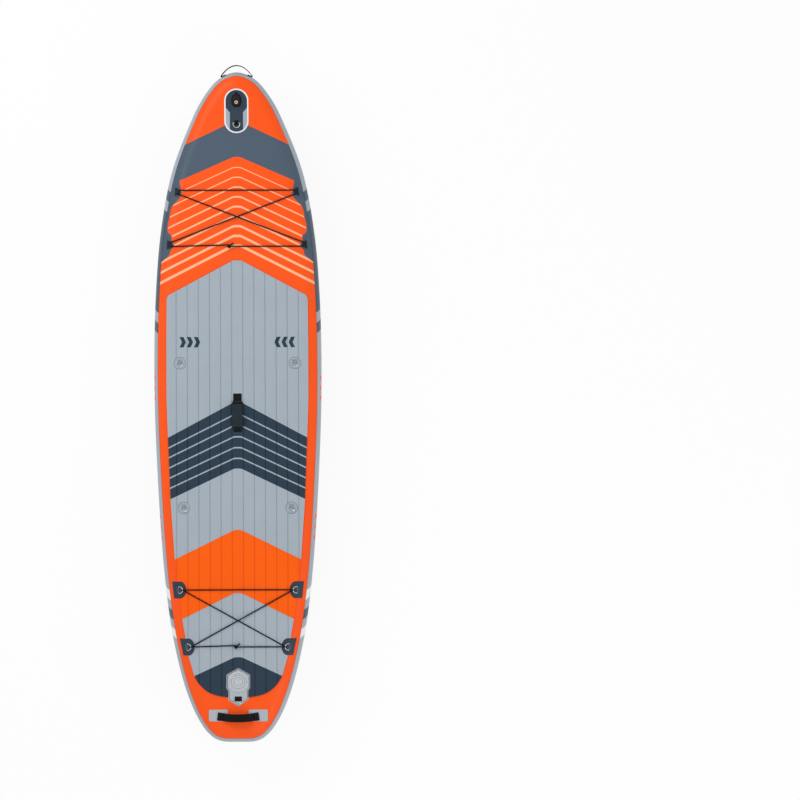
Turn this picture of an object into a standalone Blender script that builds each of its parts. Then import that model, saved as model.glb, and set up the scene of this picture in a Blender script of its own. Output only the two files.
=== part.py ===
"""Inflatable stand-up paddle board with its pads, handles, bungees, valve and fins.

Lengths are in metres. A place on the board is given as (s, y): s runs from the nose tip
towards the tail and y from the centre line to port. The finished model has +X towards the
nose, +Y to port and +Z up, with the origin under the middle of the whole box.
"""

import math

import bmesh
import bpy
import numpy as np
from mathutils import Matrix, Vector

# The board
BOARD_LENGTH = 3.200
BOARD_WIDTH = 0.800
BOARD_THICKNESS = 0.155
NOSE_RISE = 0.075
NOSE_RISE_REACH = 0.25
TAIL_RISE = 0.017
TAIL_RISE_REACH = 0.55
GAP = 0.0003
SKIN = 0.0012
BAND_SHEET = 0.0010
BAND_REACH_DEG = 40.0
SKIN_UNDER_BAND_DEG = 10.0
# Shares of the length and of the half width
PLAN = (
    (0.0, 0.0),
    (0.004, 0.130),
    (0.0143, 0.257),
    (0.0430, 0.432),
    (0.0795, 0.575),
    (0.147, 0.780),
    (0.235, 0.916),
    (0.345, 0.986),
    (0.475, 1.0),
    (0.595, 0.968),
    (0.720, 0.906),
    (0.802, 0.837),
    (0.861, 0.757),
    (0.921, 0.633),
    (0.9597, 0.508),
    (0.9830, 0.391),
    (0.9946, 0.2875),
    (0.9991, 0.1925),
    (1.0, 0.1125),
    (1.0, 0.0),
)

# Deck pad
PAD_THICKNESS = 0.0045
# Shares of the length and of the half width
PAD_NOSE = ((0.2806, 0.050), (0.3319, 0.815), (0.3347, 0.830))
PAD_SIDE = (
    (0.3388, 0.8388),
    (0.4063, 0.8438),
    (0.4878, 0.8438),
    (0.5475, 0.8275),
    (0.6384, 0.7988),
    (0.7281, 0.7500),
    (0.8175, 0.6613),
    (0.8728, 0.5850),
    (0.8891, 0.5465),
)
PAD_TAIL = ((0.9022, 0.5138), (0.9150, 0.4450), (0.9244, 0.3550), (0.9300, 0.2300), (0.9325, 0.0))
# Where one pad colour ends and the next starts: share of the length, and slope of the chevron
PAD_BREAKS = ((0.4919, 0.536), (0.5909, 0.478), (0.6825, 0.493), (0.7766, 0.496), (0.8722, 0.464))
# The chevrons' points are cut off flat over this half width, with a soft corner
PAD_LINE_PITCH = 0.014
PAD_ROW_PITCH = 0.08
PAD_BLUNT = 0.016
PAD_BLUNT_EASE = 0.006
PAD_NAMES = (
    "pad_front_grey",
    "pad_chevron_slate",
    "pad_mid_grey",
    "pad_orange",
    "pad_rear_grey",
    "pad_kick_slate",
)
GROOVE_PITCH = 0.053
GROOVE_WIDTH = 0.005
GROOVE_DEPTH = 0.0022

# Rings
RING_WIRE = 0.0021
RING_WIDTH = 0.033
RING_DEPTH = 0.024
WEBBING = 0.0013
PATCH_SHEET = 0.0015

# Nose
NOSE_PATCH_FRONT = 0.081
NOSE_PATCH_LENGTH = 0.210
NOSE_PATCH_WIDTH = 0.115
MOUNT_AT = 0.137
MOUNT_LENGTH = 0.062
MOUNT_WIDTH = 0.047
MOUNT_HEIGHT = 0.020
INSERT_RADIUS = 0.0085
INSERT_AFT = 0.006
INSERT_DEPTH = 0.009
NOSE_RING_AT = 0.243
NOSE_STRAP_TALL = 0.038
NOSE_STRAP_SHEET = 0.0028
NOSE_STRAP_REACH = 0.0324
NOSE_STRAP_TAB = (0.050, 0.074)
NOSE_STRAP_FOLD = 0.0050
# Shares of the way from the middle of the bow to its end: along the board and across it
NOSE_STRAP_BOW = ((0.85, 0.93), (0.67, 0.82), (0.46, 0.69), (0.29, 0.55), (0.15, 0.40), (0.06, 0.26))

# Front bungee
# Distance from the nose, and outward from the flat of the deck
FRONT_ANCHORS = {"front": (0.571, 0.0254), "rear": (0.822, 0.0243)}
ANCHOR_POST = 0.0050
CORD_RADIUS = 0.003

# Seat rings
# Share of the length, and distance inward from the flat's edge
SEAT_RINGS = {"front": (0.4338, 0.0470), "rear": (0.6497, 0.0420)}
SEAT_PATCH_RADIUS = 0.028

# Carry handle
CARRY_AT = 0.5102
CARRY_LENGTH = 0.196
CARRY_TAB_LENGTH = 0.022
CARRY_TAB_WIDTH = 0.040
CARRY_STRAP_WIDTH = 0.036
CARRY_STRAP_SHEET = 0.0026
CARRY_RISE = 0.029
GRIP_WIDTH = 0.049
GRIP_HEIGHT = 0.0105

# Rear bungee
# Distance from the tail, and outward from the flat of the deck
REAR_RINGS = {"front": (0.730, 0.0140), "rear": (0.458, 0.0170)}
REAR_RING_TILT_DEG = 28.0

# Valve and leash ring
VALVE_FROM_TAIL = 0.292
VALVE_FLANGE_RADIUS = 0.050
VALVE_FLANGE_HEIGHT = 0.0050
VALVE_CAP_RADIUS = 0.032
VALVE_BORE_RADIUS = 0.0185
VALVE_BARREL_RADIUS = 0.0225
VALVE_BARREL_DEPTH = 0.030
VALVE_NUT_RADIUS = 0.036
VALVE_LOBES = 12
PLUNGER_RADIUS = 0.0026
LEASH_FROM_VALVE = 0.082

# Tail handle
TAIL_STRAP_FROM_TAIL = 0.123
TAIL_STRAP_WIDTH = 0.038
TAIL_STRAP_SHEET = 0.0026
TAIL_STRAP_REACH = 0.099
TAIL_STRAP_RISE = 0.038

# Fins
CENTER_BOX_FROM_TAIL = 0.3425
CENTER_BOX_LENGTH = 0.199
CENTER_BOX_WIDTH = 0.075
SIDE_BOX_FROM_TAIL = 0.7095
SIDE_BOX_OUT = 0.23125 * BOARD_WIDTH
SIDE_BOX_LENGTH = 0.163
SIDE_BOX_WIDTH = 0.054
FIN_BOX_HEIGHT = 0.011
SLOT_WIDTH = 0.0062
SLOT_KEEL_WIDTH = 0.0140
SLOT_LIP = 0.0035
SLOT_DEPTH = 0.0090
# Depth below the bottom, leading edge and trailing edge, the last two from the fin's base front
CENTER_FIN = (
    (0.0, 0.0, 0.148),
    (0.041, 0.015, 0.1455),
    (0.080, 0.0325, 0.1526),
    (0.114, 0.0515, 0.167),
    (0.143, 0.074, 0.1915),
    (0.165, 0.099, 0.218),
    (0.180, 0.122, 0.229),
    (0.192, 0.153, 0.226),
    (0.198, 0.180, 0.205),
)
SIDE_FIN = (
    (0.0, 0.0, 0.131),
    (0.027, 0.015, 0.1285),
    (0.056, 0.034, 0.133),
    (0.0755, 0.055, 0.1456),
    (0.092, 0.075, 0.169),
    (0.104, 0.096, 0.177),
    (0.111, 0.121, 0.174),
    (0.114, 0.138, 0.163),
)
FIN_THICKNESS = 0.0052

HALF = BOARD_THICKNESS / 2
RAIL = HALF + GAP + BAND_SHEET
INSERT_AT = MOUNT_AT + INSERT_AFT
VALVE_AT = BOARD_LENGTH - VALVE_FROM_TAIL
LEASH_AT = VALVE_AT + LEASH_FROM_VALVE
TAIL_STRAP_AT = BOARD_LENGTH - TAIL_STRAP_FROM_TAIL
CARRY_FRONT = CARRY_AT * BOARD_LENGTH - (CARRY_LENGTH - CARRY_TAB_LENGTH) / 2
CARRY_REAR = CARRY_AT * BOARD_LENGTH + (CARRY_LENGTH - CARRY_TAB_LENGTH) / 2
# Draped sheets stand this much clearer of the rounded rail, whose facets differ from theirs
SHOULDER_EASE = 0.0009


def clear_scene():
    for obj in list(bpy.data.objects):
        bpy.data.objects.remove(obj, do_unlink=True)


def material(name, color, roughness=0.5, metallic=0.0):
    made = bpy.data.materials.new(name)
    made.use_nodes = True
    shader = made.node_tree.nodes["Principled BSDF"]
    shader.inputs["Base Color"].default_value = (*color, 1.0)
    shader.inputs["Roughness"].default_value = roughness
    shader.inputs["Metallic"].default_value = metallic
    made.diffuse_color = (*color, 1.0)
    return made


# Shape of the board


def smooth_curve(points, steps):
    """Centripetal Catmull-Rom curve from the second point to the last but one."""
    made = []
    for a, b, c, d in zip(points, points[1:], points[2:], points[3:]):
        t1 = np.linalg.norm(b - a) ** 0.5
        t2 = t1 + np.linalg.norm(c - b) ** 0.5
        t3 = t2 + np.linalg.norm(d - c) ** 0.5
        for t in np.linspace(t1, t2, steps, endpoint=False):
            ab = (a * (t1 - t) + b * t) / t1
            bc = (b * (t2 - t) + c * (t - t1)) / (t2 - t1)
            cd = (c * (t3 - t) + d * (t - t2)) / (t3 - t2)
            abc = (ab * (t2 - t) + bc * t) / t2
            bcd = (bc * (t3 - t) + cd * (t - t1)) / (t3 - t1)
            made.append((abc * (t2 - t) + bcd * (t - t1)) / (t2 - t1))
    made.append(points[-2])
    return np.array(made)


def outline_curve():
    """The port side of the plan from nose to tail, and its outward normals."""
    stations = np.array(PLAN) * [BOARD_LENGTH, BOARD_WIDTH / 2]
    steered = np.vstack([stations[1] * [1, -1], stations, stations[-2] * [1, -1]])
    curve = smooth_curve(steered, 24)
    tangent = np.gradient(curve, axis=0)
    tangent[0] = (0, 1)
    tangent[-1] = (0, -1)
    tangent /= np.linalg.norm(tangent, axis=1)[:, None]
    return curve, np.stack([-tangent[:, 1], tangent[:, 0]], axis=1)


def pick_stations(curve, normals):
    """Indices along the curve, closer together where the plan turns and near the nose."""
    turn = np.degrees(np.arccos(np.clip((normals[1:] * normals[:-1]).sum(1), -1, 1)))
    step = np.linalg.norm(np.diff(curve, axis=0), axis=1)
    pitch = np.where(curve[1:, 0] < 0.30 * BOARD_LENGTH, 0.20, 0.42)
    weight = np.concatenate([[0], np.cumsum(turn / 14.0 + step / pitch)])
    count = int(weight[-1]) + 1
    picked = [int(np.abs(weight - w).argmin()) for w in np.linspace(0, weight[-1], count)]
    return sorted(set(picked))


OUTLINE, NORMALS = outline_curve()
CORE = OUTLINE - NORMALS * RAIL
STATIONS = pick_stations(OUTLINE, NORMALS)
KNOTS = np.concatenate([np.linspace(0, CORE[0, 0], 5)[:-1], CORE[STATIONS][:, 0], [BOARD_LENGTH]])


def true_rise(s):
    return NOSE_RISE * np.exp(-s / NOSE_RISE_REACH) + TAIL_RISE * np.exp(
        (s - BOARD_LENGTH) / TAIL_RISE_REACH
    )


def rise(s):
    """How far the board curves up at s, straight between the hull's own stations."""
    return np.interp(s, KNOTS, true_rise(KNOTS))


def rise_slope(s):
    return (true_rise(s + 1e-4) - true_rise(s - 1e-4)) / 2e-4


def beyond_core(s, y):
    """Distance of each place beyond the flat of the deck, and the direction it lies in."""
    place = np.stack([s, np.abs(y)], axis=1)
    start, along = CORE[:-1], np.diff(CORE, axis=0)
    length = np.maximum((along**2).sum(1), 1e-16)
    share = np.clip(((place[:, None] - start) * along).sum(2) / length, 0, 1)
    away = place[:, None] - (start + share[..., None] * along)
    distance = np.linalg.norm(away, axis=2)
    nearest = distance.argmin(axis=1)
    rows = np.arange(len(place))
    distance, away = distance[rows, nearest], away[rows, nearest]
    inside = place[:, 1] < np.interp(place[:, 0], CORE[:, 0], CORE[:, 1], left=-1, right=-1)
    distance = np.where(inside, 0, distance)
    direction = away / np.maximum(distance, 1e-9)[:, None]
    direction[distance < 1e-9] = (0, 0)
    direction[:, 1] *= np.where(y < 0, -1, 1)
    return distance, direction


def surface(s, y, side):
    """Points and normals of the deck (side 1) or the bottom (side -1), in world axes."""
    distance, direction = beyond_core(s, y)
    angle = distance / HALF
    radius = HALF + SHOULDER_EASE * np.minimum(distance / 0.005, 1)
    foot = np.stack([s, y], axis=1) - direction * distance[:, None]
    plan = foot + direction * (radius * np.sin(angle))[:, None]
    height = HALF + side * radius * np.cos(angle) + rise(plan[:, 0])
    lean = direction * np.sin(angle)[:, None]
    upward = side * np.cos(angle)
    normal = np.stack([-(lean[:, 0] - rise_slope(plan[:, 0]) * upward), lean[:, 1], upward], axis=1)
    normal /= np.linalg.norm(normal, axis=1)[:, None]
    return np.stack([BOARD_LENGTH / 2 - plan[:, 0], plan[:, 1], height], axis=1), normal


def flat_half_width(s):
    """Half width of the flat of the deck at s."""
    return float(np.interp(s, CORE[:, 0], CORE[:, 1]))


def spots(table):
    """Places of four fittings: row name, side name, sign, s and y without its sign."""
    made = []
    for row, (s, out) in table.items():
        for side_name, sign in (("port", 1), ("starboard", -1)):
            made.append((row, side_name, sign, s, flat_half_width(s) + out))
    return made


SEAT_SPOTS = spots({row: (at * BOARD_LENGTH, -inward) for row, (at, inward) in SEAT_RINGS.items()})
REAR_SPOTS = spots({row: (BOARD_LENGTH - away, out) for row, (away, out) in REAR_RINGS.items()})
FRONT_SPOTS = spots(FRONT_ANCHORS)


def drape(points, side=1):
    """Moves points (s, y, height) of a flat pattern onto the board."""
    points = np.array(points, float)
    base, normal = surface(points[:, 0], points[:, 1], side)
    return base + normal * points[:, 2:3]


def frame_at(s, y, height=0.0, side=1, turn_deg=0.0):
    """Frame on the surface: x towards the nose, z out of the board, turned about z."""
    base, normal = surface(np.array([s]), np.array([y]), side)
    z = Vector(normal[0])
    x = (Vector((1, 0, 0)) - z * z.x).normalized()
    turned = Matrix((x, z.cross(x), z)).transposed().to_4x4()
    place = Matrix.Translation(Vector(base[0]) + z * height)
    return place @ turned @ Matrix.Rotation(math.radians(turn_deg), 4, "Z")


# Making meshes


def finish(mesh, angle=38):
    bm = bmesh.new()
    bm.from_mesh(mesh)
    bmesh.ops.remove_doubles(bm, verts=bm.verts, dist=1e-6)
    bmesh.ops.dissolve_degenerate(bm, edges=bm.edges, dist=1e-6)
    bmesh.ops.recalc_face_normals(bm, faces=bm.faces)
    bm.to_mesh(mesh)
    bm.free()
    mesh.shade_smooth()
    mesh.set_sharp_from_angle(angle=math.radians(angle))


def add(name, shape, look):
    """An object in the scene from (vertices, faces)."""
    vertices, faces = shape
    mesh = bpy.data.meshes.new(name)
    mesh.from_pydata([tuple(v) for v in vertices], [], [tuple(f) for f in faces])
    mesh.materials.append(look)
    finish(mesh)
    obj = bpy.data.objects.new(name, mesh)
    bpy.context.scene.collection.objects.link(obj)
    return obj


def combine(obj, shape, operation="DIFFERENCE"):
    """Applies a Boolean with another shape, given in the same coordinates."""
    tool = add("tool", shape, obj.data.materials[0])
    modifier = obj.modifiers.new("with_tool", "BOOLEAN")
    modifier.operation = operation
    modifier.solver = "EXACT"
    modifier.object = tool
    bpy.context.view_layer.update()
    graph = bpy.context.evaluated_depsgraph_get()
    obj.data = bpy.data.meshes.new_from_object(obj.evaluated_get(graph))
    obj.modifiers.clear()
    bpy.data.objects.remove(tool, do_unlink=True)
    finish(obj.data)


def loft(sections, closed=False):
    """Skin over equal loops of points, capped at both ends unless it closes on itself."""
    sections = np.array(sections, float)
    count, size = sections.shape[:2]
    faces = []
    for i in range(count if closed else count - 1):
        for k in range(size):
            here, there = i * size, (i + 1) % count * size
            after = (k + 1) % size
            faces.append((here + k, here + after, there + after, there + k))
    if not closed:
        faces.append(tuple(range(size)))
        faces.append(tuple(range(count * size - 1, (count - 1) * size - 1, -1)))
    return sections.reshape(-1, 3), faces


def prism(outline, bottom, top, shrink=None):
    """Flat outline pulled from bottom to top; shrink scales the top loop about its middle."""
    flat = np.array(outline, float)
    loops = [np.column_stack([flat, np.full(len(flat), h)]) for h in (bottom, top)]
    if shrink:
        inner = flat.mean(axis=0) + (flat - flat.mean(axis=0)) * shrink
        loops[-1] = np.column_stack([inner, np.full(len(flat), top)])
    return loft(loops)


def box(x0, x1, y0, y1, z0, z1):
    return prism(((x0, y0), (x1, y0), (x1, y1), (x0, y1)), z0, z1)


def join(*shapes):
    """Several closed shapes as one list of vertices and faces, for use as one cutter."""
    vertices, faces = [], []
    for points, loops in shapes:
        faces += [tuple(len(vertices) + i for i in loop) for loop in loops]
        vertices += [tuple(p) for p in points]
    return vertices, faces


def circle(radius, count, center=(0.0, 0.0), start=0.0):
    angles = start + np.arange(count) * 2 * math.pi / count
    return np.column_stack(
        [center[0] + radius * np.cos(angles), center[1] + radius * np.sin(angles)]
    )


def cylinder(radius, bottom, top, count=24, center=(0.0, 0.0)):
    return prism(circle(radius, count, center), bottom, top)


def oval(center, length, width, count=24, power=2.0):
    """Rounded outline; a higher power is squarer."""
    angles = np.arange(count) * 2 * math.pi / count
    c, s = np.cos(angles), np.sin(angles)
    x = np.sign(c) * np.abs(c) ** (2 / power) * length / 2
    y = np.sign(s) * np.abs(s) ** (2 / power) * width / 2
    return np.column_stack([center[0] + x, center[1] + y])


def rounded_box(center, length, width, radius, steps=4):
    """Rectangle with rounded corners."""
    points = []
    for quarter, (sx, sy) in enumerate(((1, 1), (-1, 1), (-1, -1), (1, -1))):
        middle = (sx * (length / 2 - radius), sy * (width / 2 - radius))
        for step in range(steps + 1):
            angle = math.radians(90 * quarter + 90 * step / steps)
            points.append((
                center[0] + middle[0] + radius * math.cos(angle),
                center[1] + middle[1] + radius * math.sin(angle),
            ))
    return np.array(points)


def grow(outline, by):
    """Outline moved outward by a distance, for clearances."""
    points = np.array(outline, float)
    along = np.roll(points, -1, axis=0) - np.roll(points, 1, axis=0)
    along /= np.linalg.norm(along, axis=1)[:, None]
    outward = np.column_stack([along[:, 1], -along[:, 0]])
    middle = points.mean(axis=0)
    if (outward * (points - middle)).sum() < 0:
        outward = -outward
    return points + outward * by


def lathe(profile, steps=32, lobes=None):
    """Turned solid from a closed profile of (radius, height), none of it on the axis."""
    sections = []
    for i in range(steps):
        angle = 2 * math.pi * i / steps
        swell = [lobes(angle, r) if lobes else 0.0 for r, _ in profile]
        sections.append([
            ((r + d) * math.cos(angle), (r + d) * math.sin(angle), z)
            for (r, z), d in zip(profile, swell)
        ])
    return loft(sections, closed=True)


def turned(profile, steps=24):
    """Turned solid from (radius, height) pairs going up, closed by flat ends."""
    return loft([np.column_stack([circle(r, steps), np.full(steps, z)]) for r, z in profile])


def tube(path, radius, sides=8, closed=False):
    """Round cord along a path."""
    path = np.array(path, float)
    if closed:
        tangents = np.roll(path, -1, axis=0) - np.roll(path, 1, axis=0)
    else:
        tangents = np.gradient(path, axis=0)
    tangents /= np.linalg.norm(tangents, axis=1)[:, None]
    helper = np.array([0.0, 0.0, 1.0]) if abs(tangents[0][2]) < 0.9 else np.array([1.0, 0.0, 0.0])
    across = np.cross(helper, tangents[0])
    sections = []
    for point, tangent in zip(path, tangents):
        across = across - tangent * across.dot(tangent)
        across /= np.linalg.norm(across)
        up = np.cross(tangent, across)
        angles = np.arange(sides) * 2 * math.pi / sides
        sections.append([point + radius * (math.cos(a) * across + math.sin(a) * up) for a in angles])
    return loft(sections, closed)


def ribbon(path, ups, width, sheet):
    """Flat strap along a path: ups points out of its face, width runs across."""
    path, ups = np.array(path, float), np.array(ups, float)
    tangents = np.gradient(path, axis=0)
    tangents /= np.linalg.norm(tangents, axis=1)[:, None]
    sections = []
    for point, tangent, up in zip(path, tangents, ups):
        side = np.cross(up, tangent)
        side /= np.linalg.norm(side)
        out = np.cross(tangent, side)
        a, b = side * width / 2, out * sheet / 2
        sections.append([point - a - b, point + a - b, point + a + b, point - a + b])
    return loft(sections)


def lay(obj, side=1, rows=(), columns=(), rows_from=0.0):
    """Cuts a flat pattern along the hull's stations and given lines, then drapes it.

    The extra rows cut only faces that lie further out than rows_from.
    """
    bm = bmesh.new()
    bm.from_mesh(obj.data)
    reach = [v.co.x for v in bm.verts]
    cuts = [((s, 0, 0), (1, 0, 0), 0.0) for s in KNOTS]
    cuts += [((0, y, 0), (0, 1, 0), 0.0) for y in columns]
    cuts += [((s, 0, 0), (1, 0, 0), rows_from) for s in rows]
    for spot, across, out in cuts:
        if across[0] and not min(reach) + 5e-4 < spot[0] < max(reach) - 5e-4:
            continue
        faces = [f for f in bm.faces if min(abs(v.co.y) for v in f.verts) > out - 1e-5]
        edges = {e for f in faces for e in f.edges}
        verts = {v for f in faces for v in f.verts}
        geometry = [*verts, *edges, *faces]
        bmesh.ops.bisect_plane(bm, geom=geometry, dist=1e-6, plane_co=spot, plane_no=across)
    draped = drape([tuple(v.co) for v in bm.verts], side)
    for vertex, spot in zip(bm.verts, draped):
        vertex.co = spot
    bm.to_mesh(obj.data)
    bm.free()
    finish(obj.data)
    return obj


def place(obj, frame):
    obj.matrix_world = frame
    return obj


def mirrored(points):
    return [(s, -y) for s, y in points]


# Hull


def hull_ring(section):
    """Sweeps a section of (distance from the core line, height from mid thickness) round the plan."""
    core = list(CORE[STATIONS]) + [CORE[i] * [1, -1] for i in STATIONS[-2:0:-1]]
    outward = list(NORMALS[STATIONS]) + [NORMALS[i] * [1, -1] for i in STATIONS[-2:0:-1]]
    rings = []
    for point, normal in zip(core, outward):
        ring = []
        for distance, height in section:
            s, y = point + normal * distance
            ring.append((BOARD_LENGTH / 2 - s, y, HALF + height + float(rise(s))))
        rings.append(ring)
    return rings


def arc(radius, degrees):
    return [(radius * math.cos(a), radius * math.sin(a)) for a in np.radians(degrees)]


def rim_angles():
    """Angles of the skin's rolled rim; the side band has the same two where they lap."""
    return [*np.linspace(90, BAND_REACH_DEG, 4), BAND_REACH_DEG - SKIN_UNDER_BAND_DEG]


def skin_shape(side):
    """Flat sheet with its rolled rim, closed over both faces."""
    section = arc(HALF, rim_angles()) + arc(HALF - SKIN, rim_angles()[::-1])
    section = [(d, side * h) for d, h in section]
    rings = hull_ring(section)
    size, count = len(section), len(rings)
    faces = []
    for i in range(count):
        for k in range(size - 1):
            j = (i + 1) % count
            faces.append((i * size + k, i * size + k + 1, j * size + k + 1, j * size + k))
    half = count // 2
    for edge in (0, size - 1):
        for i in range(half):
            loop = (i, i + 1, (count - i - 1) % count, (count - i) % count)
            loop = [v for n, v in enumerate(loop) if v not in loop[:n]]
            faces.append(tuple(v * size + edge for v in loop))
    return [p for ring in rings for p in ring], faces


def make_hull(looks):
    deck = add("deck_skin", skin_shape(1), looks["orange"])
    hole = cylinder(VALVE_BARREL_RADIUS + 0.0005, -0.02, 0.02, 32)
    combine(deck, moved(hole, frame_at(VALVE_AT, 0)))
    add("bottom_skin", skin_shape(-1), looks["slate"])
    top, lap = rim_angles()[-2:]
    angles = [-top, -lap, -lap / 2, 0, lap / 2, lap, top]
    section = arc(RAIL, angles) + arc(HALF + GAP, angles[::-1])
    add("side_band", loft(hull_ring(section), closed=True), looks["grey"])


def moved(shape, frame):
    points, faces = shape
    return [tuple(frame @ Vector(p)) for p in points], faces


def make_core(looks):
    """Two inner sheets with rows of drop-stitch threads, each row drawn as a thin wall."""
    sheet, row, clear = 0.0006, 0.0010, 0.0008
    first, last = 0.12, BOARD_LENGTH - 0.12
    walls = np.linspace(first + 0.05, last - 0.05, 11)
    lines = [s for s in KNOTS if first < s < last and np.abs(walls - s).min() > 0.004]
    lines = sorted([first, last] + lines + [w + d for w in walls for d in (-row / 2, row / 2)])
    levels = (-HALF + SKIN + clear, -HALF + SKIN + clear + sheet)
    levels = levels + (-levels[1], -levels[0])
    points, faces = [], []
    for s in lines:
        out = flat_half_width(s) - 0.004
        for y in (out, -out):
            points += [(BOARD_LENGTH / 2 - s, y, HALF + z + float(rise(s))) for z in levels]
    for i, (a, b) in enumerate(zip(lines, lines[1:])):
        wall = abs(b - a - row) < 1e-6
        here, there = 8 * i, 8 * i + 8
        for z in (0, 3) if wall else (0, 1, 2, 3):
            faces.append((here + z, there + z, there + z + 4, here + z + 4))
        for edge in (0, 4):
            for z in (0, 1, 2) if wall else (0, 2):
                faces.append((here + edge + z, there + edge + z, there + edge + z + 1, here + edge + z + 1))
        if wall:
            faces += [(i0 + 1, i0 + 2, i0 + 6, i0 + 5) for i0 in (here, there)]
    for end in (0, 8 * (len(lines) - 1)):
        faces += [(end + z, end + z + 1, end + z + 5, end + z + 4) for z in (0, 2)]
    core = add("drop_stitch_core", (points, faces), looks["thread"])
    room = cylinder(VALVE_NUT_RADIUS + 0.004, -VALVE_BARREL_DEPTH - 0.015, 0.0, 24)
    combine(core, moved(room, frame_at(VALVE_AT, 0)))


# Deck pad


def pad_points(shares):
    return [(s * BOARD_LENGTH, y * BOARD_WIDTH / 2) for s, y in shares]


def pad_side_line():
    """The pad's side as straight runs, and its round tail end as a smooth curve."""
    side, tail = pad_points(PAD_SIDE), pad_points(PAD_TAIL)
    steered = np.array([*side[-2:], *tail, tail[-2]]) * ([[1, 1]] * (len(tail) + 2) + [[1, -1]])
    return np.vstack([side[:-1], smooth_curve(steered, 3)])


PAD_LINE = pad_side_line()


def pad_half_width(s):
    return float(np.interp(s, PAD_LINE[:, 0], PAD_LINE[:, 1]))


def side_crossing(start, slope):
    """Where a chevron line that starts on the centre line meets the pad's side."""
    low, high = start, start + slope * BOARD_WIDTH
    for _ in range(40):
        middle = (low + high) / 2
        if middle - slope * pad_half_width(middle) < start:
            low = middle
        else:
            high = middle
    return low


def blunt_chevron(start, slope):
    """Port half of a chevron line, from its cut-off point to the pad's side."""
    low = side_crossing(start - slope * PAD_BLUNT, slope)
    inner, outer = PAD_BLUNT - PAD_BLUNT_EASE, PAD_BLUNT + PAD_BLUNT_EASE
    shoulder = (start + slope * PAD_BLUNT_EASE, outer)
    return [(start, 0.0), (start, inner), shoulder, (low, pad_half_width(low))]


def pad_outline(index):
    """Outline of one colour of the pad, from the centre line round the port side."""
    trim = 0.6 * GAP
    breaks = [(share * BOARD_LENGTH, slope) for share, slope in PAD_BREAKS]
    side = [tuple(point) for point in PAD_LINE]
    if index == 0:
        nose = pad_points(PAD_NOSE)
        port = [(nose[0][0], 0.0), *nose, side[0]]
        top = side[0][0]
    else:
        start, slope = breaks[index - 1]
        port = blunt_chevron(start + trim, slope)
        top = port[-1][0]
    if index < len(breaks):
        start, slope = breaks[index]
        end = blunt_chevron(start - trim, slope)[::-1]
        low = end[0][0]
    else:
        low = side[-1][0]
        end = [(low, 0.0)]
    port += [point for point in side if top + 0.004 < point[0] < low - 0.0008] + end
    return port + mirrored(port[-2:0:-1])


def pad_cutters():
    """Grooves and cut-outs in the pad, in flat coordinates."""
    deep, high = PAD_THICKNESS - GROOVE_DEPTH + GAP, PAD_THICKNESS + 0.004
    shapes = []
    for k in range(-6, 6):
        y = (k + 0.5) * GROOVE_PITCH
        wide = GROOVE_WIDTH / 2 * (high - deep) / GROOVE_DEPTH
        section = ((y, deep), (y + wide, high), (y - wide, high))
        ends = (0.1 * BOARD_LENGTH, BOARD_LENGTH)
        shapes.append(loft([[(s, a, b) for a, b in section] for s in ends]))
    return join(*shapes)


def pad_holes():
    shapes = []
    for _, _, sign, s, y in SEAT_SPOTS:
        shapes.append(prism(circle(SEAT_PATCH_RADIUS + 0.0008, 24, (s, sign * y)), -0.01, 0.02))
    for _, _, sign, s, y in REAR_SPOTS:
        shapes.append(prism(grow(rear_patch_outline(s, y, sign), 0.0012), -0.01, 0.02))
    for middle, length in ((CARRY_FRONT + 0.013, 0.052), (CARRY_REAR - 0.006, 0.038)):
        outline = rounded_box((middle, 0), length, CARRY_TAB_WIDTH + 0.002, 0.003, 2)
        shapes.append(prism(outline, -0.01, 0.02))
    shapes.append(prism(grow(valve_plate_outline(), 0.0008), -0.01, 0.02))
    return join(*shapes)


def make_pads(looks):
    colors = ("eva_grey", "eva_slate", "eva_grey", "eva_orange", "eva_grey", "eva_slate")
    for index, (name, look) in enumerate(zip(PAD_NAMES, colors)):
        outline = pad_outline(index)
        pad = add(name, prism(outline, GAP, PAD_THICKNESS + GAP), looks[look])
        combine(pad, pad_cutters())
        combine(pad, pad_holes())
        places = np.array(outline)
        flat = min(flat_half_width(s) for s in places[:, 0]) + 0.002
        out = np.abs(places[:, 1]).max()
        lines = np.arange(flat, out, PAD_LINE_PITCH)
        rows = np.arange(places[:, 0].min(), places[:, 0].max(), PAD_ROW_PITCH)
        columns = [sign * y for y in lines for sign in (1, -1)]
        lay(pad, rows=rows, columns=columns, rows_from=flat)


# Rings and their webbing


def saddle(width, leg=0.008, sink=0.0006, extra=0.0):
    """Webbing over a ring's bar that lies along y: both legs run onto the patch at z 0."""
    bar = RING_WIRE + GAP + extra
    inner = RING_WIRE + GAP + extra
    outer = inner + WEBBING
    over = [(outer * math.cos(a), bar + outer * math.sin(a)) for a in np.linspace(math.pi, 0, 7)]
    under = [(inner * math.cos(a), bar + inner * math.sin(a)) for a in np.linspace(0, math.pi, 7)]
    profile = [(-leg - outer, -sink), (-leg - outer, WEBBING), (-outer, WEBBING), *over]
    profile += [(outer, WEBBING), (leg + outer, WEBBING), (leg + outer, -sink), (inner, -sink)]
    profile += [*under, (-inner, -sink)]
    return loft([[(x, y, z) for x, z in profile] for y in (-width / 2, width / 2)])


def ring_shape(width=RING_WIDTH, depth=RING_DEPTH):
    """D ring whose straight bar lies on the y axis and whose bow reaches to +x."""
    half = width / 2
    bow = [(depth * math.sin(a), half * math.cos(a)) for a in np.radians(np.linspace(25, 155, 7))]
    path = [(0, -half + 0.003), (0, half - 0.003), (0.0015, half - 0.0003), *bow]
    path += [(0.0015, -half + 0.0003)]
    return tube([(x, y, 0) for x, y in path], RING_WIRE, 6, closed=True)


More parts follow.
